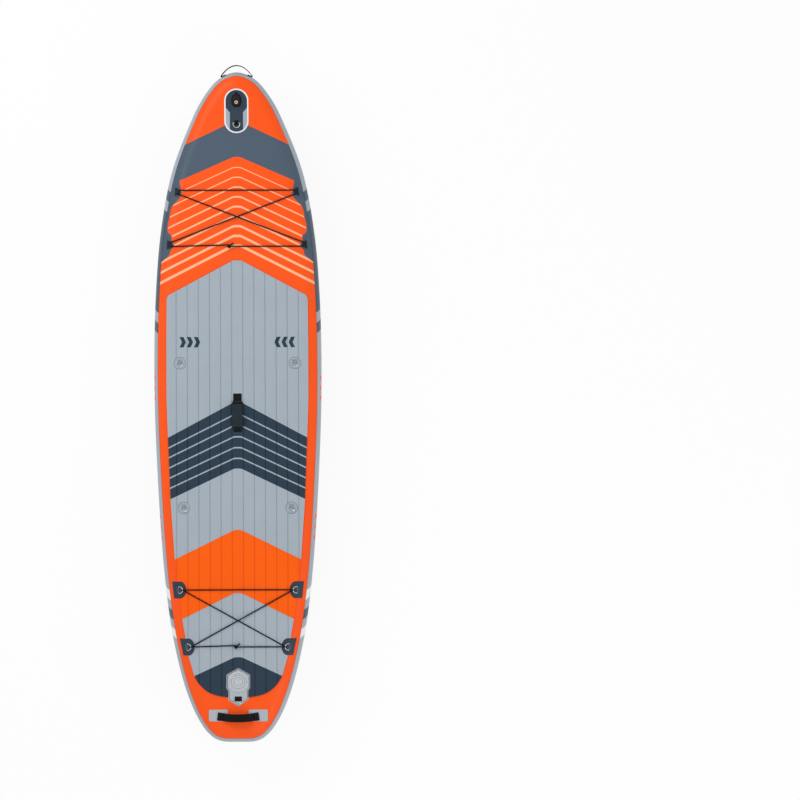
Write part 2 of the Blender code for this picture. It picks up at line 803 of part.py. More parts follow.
def flat_shape(shape, s, y, turn_deg=0.0):
    """A shape in local axes (x to the nose, y to port) moved into the flat pattern."""
    points, faces = shape
    cos, sin = math.cos(math.radians(turn_deg)), math.sin(math.radians(turn_deg))
    return [(s - (x * cos - v * sin), y + x * sin + v * cos, z) for x, v, z in points], faces


RING_LIFT = GAP + PATCH_SHEET + RING_WIRE + GAP


def make_nose(looks):
    middle = NOSE_PATCH_FRONT + NOSE_PATCH_LENGTH / 2
    outline = rounded_box(
        (middle, 0), NOSE_PATCH_LENGTH, NOSE_PATCH_WIDTH, NOSE_PATCH_WIDTH / 2 - 0.002, 8
    )
    patch = add("nose_patch", prism(outline, GAP, GAP + PATCH_SHEET), looks["slate"])
    loop = flat_shape(lifted(saddle(0.020, extra=0.0003), GAP + PATCH_SHEET), NOSE_RING_AT, 0)
    combine(patch, loop, "UNION")
    lay(patch, columns=(-0.048, -0.036, -0.024, 0.024, 0.036, 0.048))
    ring = add("nose_d_ring", ring_shape(0.034, 0.022), looks["steel"])
    lift = RING_LIFT + 0.0003
    place(ring, frame_at(NOSE_RING_AT, 0, lift, turn_deg=180))
    make_camera_mount(looks)


def lifted(shape, by):
    points, faces = shape
    return [(x, y, z + by) for x, y, z in points], faces


def make_camera_mount(looks):
    """Moulded base with a threaded metal insert in its top."""
    base = 2 * GAP + PATCH_SHEET
    levels = ((1.0, 0.0), (1.0, 0.003), (0.90, 0.009), (0.76, 0.0165), (0.66, MOUNT_HEIGHT))
    loops = []
    for share, z in levels:
        flat = oval((MOUNT_AT, 0), MOUNT_LENGTH * share, MOUNT_WIDTH * share, 20, 2.6)
        loops.append(np.column_stack([flat, np.full(len(flat), base + z)]))
    mount = add("camera_mount_base", loft(loops), looks["black_plastic"])
    top = base + MOUNT_HEIGHT
    pocket = cylinder(INSERT_RADIUS + 2 * GAP, top - INSERT_DEPTH - GAP, top + 0.01, 20, (INSERT_AT, 0))
    combine(mount, pocket)
    lug = MOUNT_AT - MOUNT_LENGTH / 2 - 0.001
    combine(mount, prism(rounded_box((lug, 0), 0.014, 0.014, 0.004, 3), base, base + 0.007), "UNION")
    combine(mount, cylinder(0.0028, base - 0.01, base + 0.02, 12, (lug - 0.001, 0)))
    lay(mount, columns=())
    bore = 0.0032
    profile = [
        (bore, -INSERT_DEPTH),
        (INSERT_RADIUS, -INSERT_DEPTH),
        (INSERT_RADIUS, 0.0),
        (INSERT_RADIUS - 0.001, 0.0008),
        (bore + 0.001, 0.0008),
        (bore, 0.0),
    ]
    insert = add("camera_mount_insert", lathe(profile, 16), looks["brass"])
    place(insert, frame_at(INSERT_AT, 0, top))


def make_nose_strap(looks):
    """Webbing bowed in front of the nose, its ends folded back under it on the side band."""
    near = RAIL + GAP + NOSE_STRAP_SHEET / 2
    far = near + NOSE_STRAP_FOLD
    low, high = NOSE_STRAP_TAB
    ends = [i for i in range(len(OUTLINE) // 2) if low < OUTLINE[i, 1] < high][::4]
    tab = [CORE[i] + NORMALS[i] * near for i in ends]
    root, out = CORE[ends[-1]], NORMALS[ends[-1]]
    along = np.array((out[1], -out[0]))
    half = (far - near) / 2
    fold = [
        root + out * (near + half - half * math.cos(a)) + along * half * math.sin(a)
        for a in np.radians((30, 60, 90, 120, 150, 180))
    ]
    tip = np.array([OUTLINE[0, 0] - NOSE_STRAP_REACH, 0.0])
    start = fold[-1]
    bow = [tip + (start - tip) * np.array(shares) for shares in NOSE_STRAP_BOW]
    port = tab + fold + bow
    plan = port + [tip] + [p * [1, -1] for p in reversed(port)]
    level = [HALF + float(rise(max(p[0], 0.0))) for p in plan]
    level = np.minimum(level, level[0] + 0.004)
    path = np.array([(BOARD_LENGTH / 2 - p[0], p[1], z) for p, z in zip(plan, level)])
    tangent = np.gradient(path, axis=0)
    ups = np.cross((0, 0, 1.0), tangent)
    add("nose_handle_strap", ribbon(path, ups, NOSE_STRAP_TALL, NOSE_STRAP_SHEET), looks["webbing"])


# Front bungee


def anchor_shape(base_y, front):
    """Foot, post and three-cornered cap over the cord, with the flat side outboard."""
    wide = ANCHOR_POST + 0.0025
    foot = turned(((wide, 0.0), (wide, 0.0010), (ANCHOR_POST, 0.0018), (ANCHOR_POST, 0.0105)), 16)
    corners = ((-0.025, 0.013), (0.025, 0.009), (0.003 * front, -0.014))
    loops = []
    for z, size in ((0.0092, 0.92), (0.0101, 1.0), (0.0120, 1.0), (0.0136, 0.86)):
        loops.append([(x * size, y * size * base_y, z) for x, y in soft_corners(corners, 0.16)])
    return foot, loft(loops)


def soft_corners(corners, share):
    points = []
    for before, here, after in zip(corners[-1:] + corners[:-1], corners, corners[1:] + corners[:1]):
        b, h, a = np.array(before), np.array(here), np.array(after)
        points += [h + (b - h) * share, h * (1 - share / 2) + (b + a) * share / 4, h + (a - h) * share]
    return points


def make_front_bungee(looks):
    for row, side_name, sign, s, y in FRONT_SPOTS:
        foot, cap = anchor_shape(sign, 1 if row == "front" else -1)
        anchor = add(f"front_anchor_{row}_{side_name}", foot, looks["black_plastic"])
        combine(anchor, cap, "UNION")
        place(anchor, frame_at(s, sign * y, 2 * GAP))
    posts = {row: (s, y) for row, _, _, s, y in FRONT_SPOTS}
    wrap = ANCHOR_POST + CORD_RADIUS + 0.0014
    low = CORD_RADIUS + 4 * GAP
    path = bungee_path(posts, wrap, low + 0.0020, low, 0.033)
    add("front_bungee", tube(drape(path), CORD_RADIUS, 6), looks["cord"])


def around(center, radius, start, end, height, steps=5):
    """Arc about a post in the flat pattern, from one bearing to another in degrees."""
    return [
        (center[0] - radius * math.cos(a), center[1] + radius * math.sin(a), height)
        for a in np.radians(np.linspace(start, end, steps + 1))
    ]


def bungee_path(posts, wrap, post_height, low, knot_at):
    """One cord: across in front, along both diagonals and across behind, knotted behind."""
    (s1, y1), (s2, y2) = posts["front"], posts["rear"]
    lean = math.degrees(math.atan2(y1 + y2, s2 - s1))
    # Bearings are from the nose towards port
    corners = [
        around((s2, -y2), wrap, -180, lean - 90, post_height),
        around((s1, y1), wrap, 90 + lean, 0, post_height),
        around((s1, -y1), wrap, 0, -90 - lean, post_height),
        around((s2, y2), wrap, 90 - lean, 180, post_height),
    ]
    return cord_line(corners, (s2 + wrap, knot_at), low)


def cord_line(corners, knot_place, low):
    """Runs a cord from its knot round four corners and back, low over what it lies on."""
    s, y = knot_place
    high = low + 2 * CORD_RADIUS + 0.0010
    path = [(s, y + 0.015, high), (s, y + 0.004, high), (s, y - 0.008, high)]
    for index, turn in enumerate(corners):
        hump = 2 * CORD_RADIUS + 0.0012 if index == len(corners) - 1 else 0.0
        path += between(path[-1], turn[0], low, hump) + turn
    knot = knot_coil(s, y, high)
    return path + between(path[-1], knot[0], low, 0.0) + knot


def between(start, end, height, hump):
    """Points of a straight run of cord, low on the deck, with a hump where it crosses another."""
    start, end = np.array(start), np.array(end)
    length = np.linalg.norm(end[:2] - start[:2])
    count = max(4, int(length / 0.055))
    made = []
    for t in np.linspace(0, 1, count + 1)[1:-1]:
        point = start + (end - start) * t
        ease = min(1.0, min(t, 1 - t) * length / 0.03)
        point[2] = (start[2] if t < 0.5 else end[2]) * (1 - ease) + height * ease
        middle = abs(t - 0.5) * length
        point[2] += hump * math.exp(-((middle / 0.03) ** 2))
        made.append(tuple(point))
    return made


def knot_coil(s, y, height):
    """Two turns of the cord's end round its own start, then the loose end."""
    radius = 2 * CORD_RADIUS + 0.0006
    made = []
    for a in np.linspace(math.pi, math.pi * 5, 17):
        advance = (a - math.pi) / (2 * math.pi) * (2 * CORD_RADIUS + 0.0006)
        made.append((s + radius * math.cos(a), y + 0.010 - advance, height + radius * math.sin(a)))
    end = made[-1]
    made.append((end[0] - 0.0035, end[1] - 0.006, end[2] - 0.002))
    made.append((end[0] - 0.0110, end[1] - 0.012, end[2] - 0.004))
    return made


# Seat rings


def make_seat_rings(looks):
    for row, side_name, sign, s, y in SEAT_SPOTS:
        outline = circle(SEAT_PATCH_RADIUS, 24, (s, sign * y))
        sheet = prism(outline, GAP, GAP + PATCH_SHEET, 0.97)
        patch = add(f"seat_ring_patch_{row}_{side_name}", sheet, looks["patch_grey"])
        at = s - 0.006
        combine(patch, flat_shape(lifted(saddle(0.022), GAP + PATCH_SHEET), at, sign * y), "UNION")
        lay(patch)
        ring = add(f"seat_d_ring_{row}_{side_name}", ring_shape(), looks["steel"])
        place(ring, frame_at(at, sign * y, RING_LIFT, turn_deg=180))


# Carry handle


def carry_height(s):
    """Height of the strap's middle above the deck: a slow rise and a quick fall."""
    start = CARRY_FRONT + CARRY_TAB_LENGTH / 2
    end = CARRY_REAR - CARRY_TAB_LENGTH / 2
    stations = np.array((0.0, 0.05, 0.12, 0.25, 0.45, 0.62, 0.75, 0.87, 0.95, 1.0))
    shares = np.array((0.0, 0.16, 0.37, 0.56, 0.81, 0.97, 1.0, 0.82, 0.33, 0.0))
    low = GAP + CARRY_STRAP_SHEET / 2
    return low + CARRY_RISE * np.interp((s - start) / (end - start), stations, shares)


def strap_path(values, height):
    fine = np.array([(v, 0.0, height(v)) for v in values])
    for _ in range(2):
        fine[1:-1, 2] = fine[:-2, 2] * 0.25 + fine[1:-1, 2] * 0.5 + fine[2:, 2] * 0.25
    return fine


def make_carry_handle(looks):
    first = CARRY_FRONT - CARRY_TAB_LENGTH / 2
    last = CARRY_REAR + CARRY_TAB_LENGTH / 2
    middle = np.linspace(CARRY_FRONT + 0.006, CARRY_REAR - 0.006, 17)
    flat = strap_path(np.concatenate([[first], middle, [last]]), carry_height)
    path = drape(flat)
    ups = surface(flat[:, 0], flat[:, 1], 1)[1]
    strap = ribbon(path, ups, CARRY_STRAP_WIDTH, CARRY_STRAP_SHEET)
    add("carry_handle_strap", strap, looks["webbing"])
    kept = path[3:-3]
    tangents = np.gradient(kept, axis=0)
    tangents /= np.linalg.norm(tangents, axis=1)[:, None]
    inner_width = CARRY_STRAP_WIDTH + 2 * GAP + 0.0004
    inner_height = CARRY_STRAP_SHEET + 2 * GAP + 0.0004
    outer, inner = [], []
    for i, (point, tangent) in enumerate(zip(kept, tangents)):
        up = np.cross(tangent, (0, -1.0, 0))
        up *= 1 if up[2] > 0 else -1
        ease = 0.86 if i in (0, len(kept) - 1) else 1.0
        for loops, wide, tall, power in (
            (outer, GRIP_WIDTH * ease, GRIP_HEIGHT * ease, 3.2),
            (inner, inner_width, inner_height, 12.0),
        ):
            flat_loop = oval((0, 0), wide, tall, 12, power)
            loops.append([point + np.array((0, a, 0)) + up * b for a, b in flat_loop])
    add("carry_handle_grip", loft(outer + inner[::-1], closed=True), looks["neoprene"])


# Rear bungee


def rear_patch_outline(s, y, sign):
    """Straight outer side along the deck's edge and a rounded inner side."""
    slant = flat_half_width(s + 0.04) - flat_half_width(s - 0.04)
    inner = [
        (s - 0.040 * math.cos(a), y - 0.004 - 0.030 * math.sin(a))
        for a in np.radians(np.linspace(8, 172, 11))
    ]
    outer = [(s + 0.040, y + 0.030 + slant / 2), (s - 0.040, y + 0.030 - slant / 2)]
    return [(a, sign * b) for a, b in inner + outer]


def make_rear_bungee(looks):
    for row, side_name, sign, s, y in REAR_SPOTS:
        sheet = prism(rear_patch_outline(s, y, sign), GAP, GAP + PATCH_SHEET)
        patch = add(f"rear_ring_patch_{row}_{side_name}", sheet, looks["patch_slate"])
        loop = lifted(saddle(0.022, extra=0.0004), GAP + PATCH_SHEET)
        combine(patch, flat_shape(loop, s, sign * y, 90), "UNION")
        steps = [sign * (y + d) for d in (-0.020, -0.0045, 0.0045, 0.016)]
        lay(patch, columns=steps)
        ring = add(f"rear_d_ring_{row}_{side_name}", ring_shape(), looks["steel"])
        frame = frame_at(s, sign * y, RING_LIFT + 0.0004, turn_deg=-90 * sign)
        place(ring, frame @ Matrix.Rotation(math.radians(-REAR_RING_TILT_DEG), 4, "Y"))
    low = PAD_THICKNESS + GAP + CORD_RADIUS + 0.0008
    turns = {(row, sign): ring_turn(s, y, sign) for row, _, sign, s, y in REAR_SPOTS}
    order = (("rear", -1), ("front", 1), ("front", -1), ("rear", 1))
    corners = [turns[key] for key in order]
    corners[1] = corners[1][::-1]
    corners[3] = corners[3][::-1]
    rear_row = REAR_SPOTS[2][3]
    path = cord_line(corners, (rear_row, 0.006), low)
    add("rear_bungee", tube(drape(path), CORD_RADIUS, 6), looks["cord"])


def ring_turn(s, y, sign):
    """Half turn round the ring's bow, in over the top and out below."""
    distance, direction = beyond_core(np.array([s]), np.array([y]))
    lean = distance[0] / HALF + math.radians(REAR_RING_TILT_DEG)
    base, normal = surface(np.array([s]), np.array([y]), 1)
    bar = base[0] + normal[0] * (RING_LIFT + 0.0004)
    center = bar + RING_DEPTH * np.array((0, -math.cos(lean), math.sin(lean)))
    wrap = RING_WIRE + CORD_RADIUS + 0.0009
    made = []
    for a in np.radians(np.linspace(75, -75, 7)):
        out, up = center[1] + wrap * math.cos(a), center[2] + wrap * math.sin(a)
        made.append((s, sign * out, up - HALF * 2 - float(rise(s))))
    return made


# Valve


def valve_plate_outline():
    port = [(-0.066, 0.0), (-0.034, 0.057), (0.030, 0.057), (0.043, 0.048), (0.086, 0.048), (0.118, 0.0)]
    port = [(VALVE_AT + s, y) for s, y in port]
    return port + mirrored(port[-2:0:-1])


def make_valve(looks):
    frame = frame_at(VALVE_AT, 0)
    plate = add("valve_patch", prism(valve_plate_outline(), GAP, GAP + PATCH_SHEET), looks["patch_grey"])
    combine(plate, cylinder(VALVE_BARREL_RADIUS + 0.0005, -0.01, 0.02, 32, (VALVE_AT, 0)))
    loop = lifted(saddle(0.034), GAP + PATCH_SHEET)
    combine(plate, flat_shape(loop, LEASH_AT, 0), "UNION")
    lay(plate)
    ring = add("leash_d_ring", ring_shape(0.042, 0.026), looks["steel"])
    place(ring, frame_at(LEASH_AT, 0, RING_LIFT, turn_deg=180))
    make_valve_body(looks, frame)
    make_valve_works(looks, frame)


def make_valve_body(looks, frame):
    seat = 2 * GAP + PATCH_SHEET
    top = seat + VALVE_FLANGE_HEIGHT
    recess = top - 0.0040
    cap_room = VALVE_CAP_RADIUS + GAP

    def scallop(angle, radius):
        return 0.0016 * math.cos(VALVE_LOBES * angle) if radius > cap_room + 0.012 else 0.0

    profile = [
        (VALVE_BARREL_RADIUS, seat),
        (VALVE_FLANGE_RADIUS - 0.0005, seat),
        (VALVE_FLANGE_RADIUS - 0.0005, top - 0.0020),
        (VALVE_FLANGE_RADIUS - 0.0035, top - 0.0004),
        (cap_room + 0.0035, top),
        (cap_room, recess),
        (VALVE_BORE_RADIUS, recess),
        (VALVE_BORE_RADIUS, -VALVE_BARREL_DEPTH),
        (VALVE_BARREL_RADIUS, -VALVE_BARREL_DEPTH),
    ]
    body = add("valve_body", lathe(profile, 4 * VALVE_LOBES, scallop), looks["grey_plastic"])
    floor = -VALVE_BARREL_DEPTH + 0.006
    arm = VALVE_BORE_RADIUS + 0.0015
    combine(body, box(-arm, arm, -0.0015, 0.0015, floor, floor + 0.003), "UNION")
    combine(body, box(-0.0015, 0.0015, -arm, arm, floor - 0.0002, floor + 0.0031), "UNION")
    combine(body, cylinder(0.0055, floor - 0.0005, floor + 0.0034, 16), "UNION")
    screws = [cylinder(0.0021, top - 0.0022, top + 0.01, 10, (0, sign * 0.0425)) for sign in (1, -1)]
    bores = [cylinder(PLUNGER_RADIUS + GAP, -0.06, 0.0, 16)]
    combine(body, join(*screws, *bores))
    place(body, frame)
    nut_top = -SKIN - GAP
    room = VALVE_BARREL_RADIUS + GAP
    profile = [
        (room, nut_top),
        (room, nut_top - 0.012),
        (room + 0.006, nut_top - 0.012),
        (room + 0.006, nut_top - 0.004),
        (VALVE_NUT_RADIUS, nut_top - 0.0035),
        (VALVE_NUT_RADIUS, nut_top),
    ]
    place(add("valve_nut", lathe(profile, 24), looks["grey_plastic"]), frame)


def make_valve_works(looks, frame):
    seat = 2 * GAP + PATCH_SHEET
    top = seat + VALVE_FLANGE_HEIGHT
    recess = top - 0.0040
    cap = [
        (VALVE_BORE_RADIUS - 2 * GAP - 0.0025, recess - 0.0060),
        (VALVE_BORE_RADIUS - 2 * GAP, recess - 0.0060),
        (VALVE_BORE_RADIUS - 2 * GAP, recess + GAP),
        (VALVE_CAP_RADIUS, recess + GAP),
        (VALVE_CAP_RADIUS, top - 0.0010),
        (VALVE_CAP_RADIUS - 0.001, top),
        (VALVE_CAP_RADIUS - 0.008, top),
        (VALVE_CAP_RADIUS - 0.0095, top - 0.0009),
        (VALVE_CAP_RADIUS - 0.0125, top - 0.0009),
        (VALVE_CAP_RADIUS - 0.014, top + 0.0002),
        (0.0005, top + 0.0002),
        (0.0005, recess - 0.0006),
        (VALVE_BORE_RADIUS - 2 * GAP - 0.0025, recess - 0.0006),
    ]
    made = add("valve_cap", lathe(cap, 20), looks["grey_plastic"])
    combine(made, turned(((0.002, recess - 0.0003), (0.002, top)), 12), "UNION")
    grips = [prism(oval((sign * 0.0085, 0), 0.009, 0.024, 16), top - 0.0022, top + 0.01) for sign in (1, -1)]
    combine(made, join(*grips))
    place(made, frame)
    floor = -VALVE_BARREL_DEPTH + 0.006
    button = -0.0105
    stem_end = -VALVE_BARREL_DEPTH - 0.0045
    profile = (
        (0.0048, stem_end),
        (0.0048, stem_end + 0.0015),
        (PLUNGER_RADIUS, stem_end + 0.0016),
        (PLUNGER_RADIUS, button - 0.0016),
        (0.0068, button - 0.0015),
        (0.0068, button - 0.0004),
        (0.0060, button),
    )
    place(add("valve_plunger", turned(profile, 14), looks["grey_plastic"]), frame)
    disc_top = -VALVE_BARREL_DEPTH - GAP
    disc = [
        (PLUNGER_RADIUS + GAP, disc_top - 0.0022),
        (VALVE_BARREL_RADIUS - 0.0008, disc_top - 0.0012),
        (VALVE_BARREL_RADIUS - 0.0008, disc_top),
        (PLUNGER_RADIUS + GAP, disc_top),
    ]
    place(add("valve_diaphragm", lathe(disc, 18), looks["black_rubber"]), frame)
    low, high = floor + 0.0034 + GAP + 0.0004, button - 0.0015 - GAP - 0.0004
    turns, wire = 3.5, 0.0004
    path = [
        (0.0046 * math.cos(a), 0.0046 * math.sin(a), low + (high - low) * a / (2 * math.pi * turns))
        for a in np.linspace(0, 2 * math.pi * turns, int(turns * 8))
    ]
    place(add("valve_spring", tube(path, wire, 4), looks["steel"]), frame)


# Tail handle


def make_tail_handle(looks):
    for side_name, sign in (("port", 1), ("starboard", -1)):
        outline = rounded_box((TAIL_STRAP_AT - 0.008, sign * 0.095), 0.056, 0.091, 0.006, 3)
        patch = add(
            f"tail_handle_patch_{side_name}", prism(outline, GAP, GAP + PATCH_SHEET), looks["patch_grey"]
        )
        columns = [sign * y for y in (0.065, 0.080, 0.095, 0.110, 0.125)]
        lay(patch, rows=(TAIL_STRAP_AT - 0.018, TAIL_STRAP_AT - 0.003, TAIL_STRAP_AT + 0.009), columns=columns)
    low = 2 * GAP + PATCH_SHEET + TAIL_STRAP_SHEET / 2 + 0.0002
    shares = ((1.0, 0.0), (0.90, 0.0), (0.78, 0.0), (0.70, 0.10), (0.60, 0.34), (0.48, 0.63))
    shares += ((0.34, 0.85), (0.18, 0.97), (0.0, 1.0))
    port = [(a * TAIL_STRAP_REACH, low + h * TAIL_STRAP_RISE) for a, h in shares]
    line = port + [(-y, h) for y, h in port[-2::-1]]
    bow = 0.008
    flat = np.array([
        (TAIL_STRAP_AT - bow / 2 + bow * (1 - (y / TAIL_STRAP_REACH) ** 2), y, h) for y, h in line
    ])
    path = drape(flat)
    ups = np.tile(surface(flat[:1, 0], np.zeros(1), 1)[1], (len(path), 1))
    ups[:3] = surface(flat[:3, 0], flat[:3, 1], 1)[1]
    ups[-3:] = surface(flat[-3:, 0], flat[-3:, 1], 1)[1]
    add("tail_handle_strap", ribbon(path, ups, TAIL_STRAP_WIDTH, TAIL_STRAP_SHEET), looks["webbing"])


# Fins


def fin_box_shape(length, width):
    """Chamfered block with the long side along x."""
    loops = []
    for z, inset in ((0.0, 0.0), (0.0035, 0.0), (FIN_BOX_HEIGHT - 0.0008, 0.0065), (FIN_BOX_HEIGHT, 0.0075)):
        outline = rounded_box((0, 0), length - 2 * inset, width - 2 * inset, 0.010, 3)
        loops.append(np.column_stack([outline, np.full(len(outline), z)]))
    return loft(loops)


def keel_profile(clear):
    """Section of the fin's foot in (y, z), grown by a clearance to make the slot."""
    neck, keel = SLOT_WIDTH / 2 - GAP + clear, SLOT_KEEL_WIDTH / 2 - GAP + clear
    top = FIN_BOX_HEIGHT - SLOT_LIP - GAP + clear
    bottom = FIN_BOX_HEIGHT - SLOT_DEPTH + GAP - clear
    return neck, keel, bottom, top


def foot_shape(x0, x1, clear, rise_to):
    neck, keel, bottom, top = keel_profile(clear)
    profile = [(-keel, bottom), (keel, bottom), (keel, top), (neck, top), (neck, rise_to)]
    profile += [(-neck, rise_to), (-neck, top), (-keel, top)]
    return loft([[(x, y, z) for y, z in profile] for x in (x0, x1)])


def fin_shape(table, front, base):
    """Foil sections from the box's face to the tip: depth, leading edge and trailing edge."""
    chord_spots = np.array((0.0, 0.06, 0.22, 0.45, 0.72, 1.0))
    halves = np.array((0.0, 0.62, 1.0, 0.94, 0.60, 0.0))
    loops = []
    for depth, lead, trail in table:
        chord = trail - lead
        thick = FIN_THICKNESS / 2 * min(1.0, 0.35 + chord / 0.12)
        z = max(depth, base)
        xs = front - (lead + chord * chord_spots)
        right = [(x, thick * h, z) for x, h in zip(xs, halves)]
        left = [(x, -thick * h, z) for x, h in zip(xs[-2:0:-1], halves[-2:0:-1])]
        loops.append(right + left)
    return loft(loops)


def make_fin_set(name, looks, s, y, length, width, table, patch_size):
    """Patch, box and fin of one place on the bottom."""
    outline = rounded_box((s, y), *patch_size, 5)
    patch = add(f"{name}_fin_patch", prism(outline, GAP, GAP + PATCH_SHEET), looks[patch_look(name)])
    lay(patch, side=-1)
    block = add(f"{name}_fin_box", fin_box_shape(length, width), looks["black_plastic"])
    foot_length = table[0][2] - table[0][1]
    front = length / 2 - 0.011
    stop = front - foot_length - 0.004
    slot = foot_shape(stop - GAP, length, GAP, FIN_BOX_HEIGHT + 0.01)
    combine(block, slot)
    frame = frame_at(s, y, 3 * GAP + PATCH_SHEET, side=-1)
    place(block, frame)
    lift = 3 * GAP + PATCH_SHEET
    shown = FIN_BOX_HEIGHT + GAP + 0.0003
    fin_table = [(max(d - lift, 0.0), a, b) for d, a, b in table]
    blade = add(f"{name}_fin", fin_shape(fin_table, front, shown - 0.0006), looks["black_gloss"])
    combine(blade, foot_shape(stop, front - 0.002, 0.0, shown + 0.0012), "UNION")
    place(blade, frame)


def patch_look(name):
    return "patch_grey" if name == "center" else "patch_slate"


def make_fins(looks):
    center_patch = (CENTER_BOX_LENGTH + 0.107, CENTER_BOX_WIDTH + 0.100, 0.085)
    side_patch = (SIDE_BOX_LENGTH + 0.034, SIDE_BOX_WIDTH + 0.034, 0.018)
    center_at = BOARD_LENGTH - CENTER_BOX_FROM_TAIL
    side_at = BOARD_LENGTH - SIDE_BOX_FROM_TAIL
    make_fin_set(
        "center", looks, center_at, 0.0, CENTER_BOX_LENGTH, CENTER_BOX_WIDTH, CENTER_FIN, center_patch
    )
    for side_name, sign in (("port", 1), ("starboard", -1)):
        make_fin_set(
            side_name, looks, side_at, sign * SIDE_BOX_OUT,
            SIDE_BOX_LENGTH, SIDE_BOX_WIDTH, SIDE_FIN, side_patch,
        )


def stand_on_floor():
    """Parents everything to one empty and moves it so the origin is under the whole box."""
    bpy.context.view_layer.update()
    pieces = [obj for obj in bpy.data.objects if obj.type == "MESH"]
    places = np.array([obj.matrix_world @ vertex.co for obj in pieces for vertex in obj.data.vertices])
    low, high = places.min(axis=0), places.max(axis=0)
    board = bpy.data.objects.new("board", None)
    bpy.context.scene.collection.objects.link(board)
    for obj in pieces:
        obj.parent = board
    board.location = (-(low[0] + high[0]) / 2, -(low[1] + high[1]) / 2, -low[2])


def main():
    clear_scene()
    looks = {
        "orange": material("pvc_orange", (0.90, 0.085, 0.010), 0.42),
        "slate": material("pvc_slate", (0.075, 0.115, 0.150), 0.42),
        "grey": material("pvc_light_grey", (0.36, 0.41, 0.45), 0.42),
        "eva_grey": material("eva_light_grey", (0.33, 0.37, 0.41), 0.85),
        "eva_slate": material("eva_slate", (0.030, 0.053, 0.078), 0.85),
        "eva_orange": material("eva_orange", (0.95, 0.13, 0.008), 0.85),
        "patch_grey": material("patch_light_grey", (0.36, 0.41, 0.45), 0.5),
        "patch_slate": material("patch_slate", (0.060, 0.090, 0.120), 0.5),
        "webbing": material("webbing_black", (0.012, 0.012, 0.013), 0.9),
        "neoprene": material("neoprene_black", (0.015, 0.015, 0.016), 0.8),
        "cord": material("cord_black", (0.010, 0.010, 0.011), 0.75),
        "steel": material("stainless_steel", (0.62, 0.62, 0.60), 0.22, 1.0),
        "brass": material("brass_insert", (0.80, 0.52, 0.35), 0.30, 1.0),
        "black_plastic": material("moulded_black", (0.010, 0.010, 0.011), 0.45),
        "black_gloss": material("fin_black", (0.008, 0.008, 0.009), 0.25),
        "grey_plastic": material("moulded_grey", (0.40, 0.44, 0.47), 0.40),
        "black_rubber": material("seal_rubber", (0.012, 0.012, 0.012), 0.7),
        "thread": material("drop_stitch_fabric", (0.70, 0.68, 0.62), 0.9),
    }
    make_hull(looks)
    make_core(looks)
    make_pads(looks)
    make_nose(looks)
    make_nose_strap(looks)
    make_front_bungee(looks)
    make_seat_rings(looks)
    make_carry_handle(looks)
    make_rear_bungee(looks)
    make_valve(looks)
    make_tail_handle(looks)
    make_fins(looks)
    stand_on_floor()


main()
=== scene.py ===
"""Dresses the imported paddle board: prints, foam, webbing, cord, a pale floor and the photograph's camera."""

import math
from contextlib import contextmanager
from functools import partialmethod

import bmesh
import bpy
import numpy as np
from mathutils import Matrix, Vector


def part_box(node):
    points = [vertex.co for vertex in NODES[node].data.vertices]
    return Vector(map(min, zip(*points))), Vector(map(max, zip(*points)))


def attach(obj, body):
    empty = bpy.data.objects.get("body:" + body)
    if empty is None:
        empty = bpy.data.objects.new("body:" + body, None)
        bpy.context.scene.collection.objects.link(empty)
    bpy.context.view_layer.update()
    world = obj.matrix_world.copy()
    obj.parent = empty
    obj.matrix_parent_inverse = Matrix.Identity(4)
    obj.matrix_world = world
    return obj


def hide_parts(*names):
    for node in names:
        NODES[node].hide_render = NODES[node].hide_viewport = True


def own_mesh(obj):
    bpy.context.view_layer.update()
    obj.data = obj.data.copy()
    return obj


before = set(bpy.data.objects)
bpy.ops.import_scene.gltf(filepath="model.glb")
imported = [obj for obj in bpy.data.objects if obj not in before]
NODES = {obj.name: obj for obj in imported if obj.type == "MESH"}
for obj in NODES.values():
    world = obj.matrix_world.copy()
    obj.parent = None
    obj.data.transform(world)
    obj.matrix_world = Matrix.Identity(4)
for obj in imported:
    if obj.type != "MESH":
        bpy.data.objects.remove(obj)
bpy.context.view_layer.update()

SIDES = (("port", 1), ("starboard", -1))

# The board's own sizes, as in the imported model; s is the distance from the nose tip
LENGTH = 3.200
HALF_WIDTH = 0.400
HALF = 0.0775
GAP = 0.0003
SKIN = 0.0012
RAIL = HALF + 0.0013
SHOULDER_EASE = 0.0009
NOSE_RISE, NOSE_RISE_REACH = 0.075, 0.25
TAIL_RISE, TAIL_RISE_REACH = 0.017, 0.55
PATCH_SHEET = 0.0015
WEBBING = 0.0013
RING_WIRE = 0.0021
RING_WIDTH, RING_DEPTH = 0.033, 0.024
RING_LIFT = GAP + PATCH_SHEET + RING_WIRE + GAP
CORD_RADIUS = 0.003
# The cord's map runs this far round it
CORD_MAP = math.tau * CORD_RADIUS
PAD_THICKNESS = 0.0045
GROOVE_PITCH = 0.053
NOSE_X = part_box("side_band")[1][0]
BOTTOM_Z = 0.1872
MID_Z = BOTTOM_Z + HALF
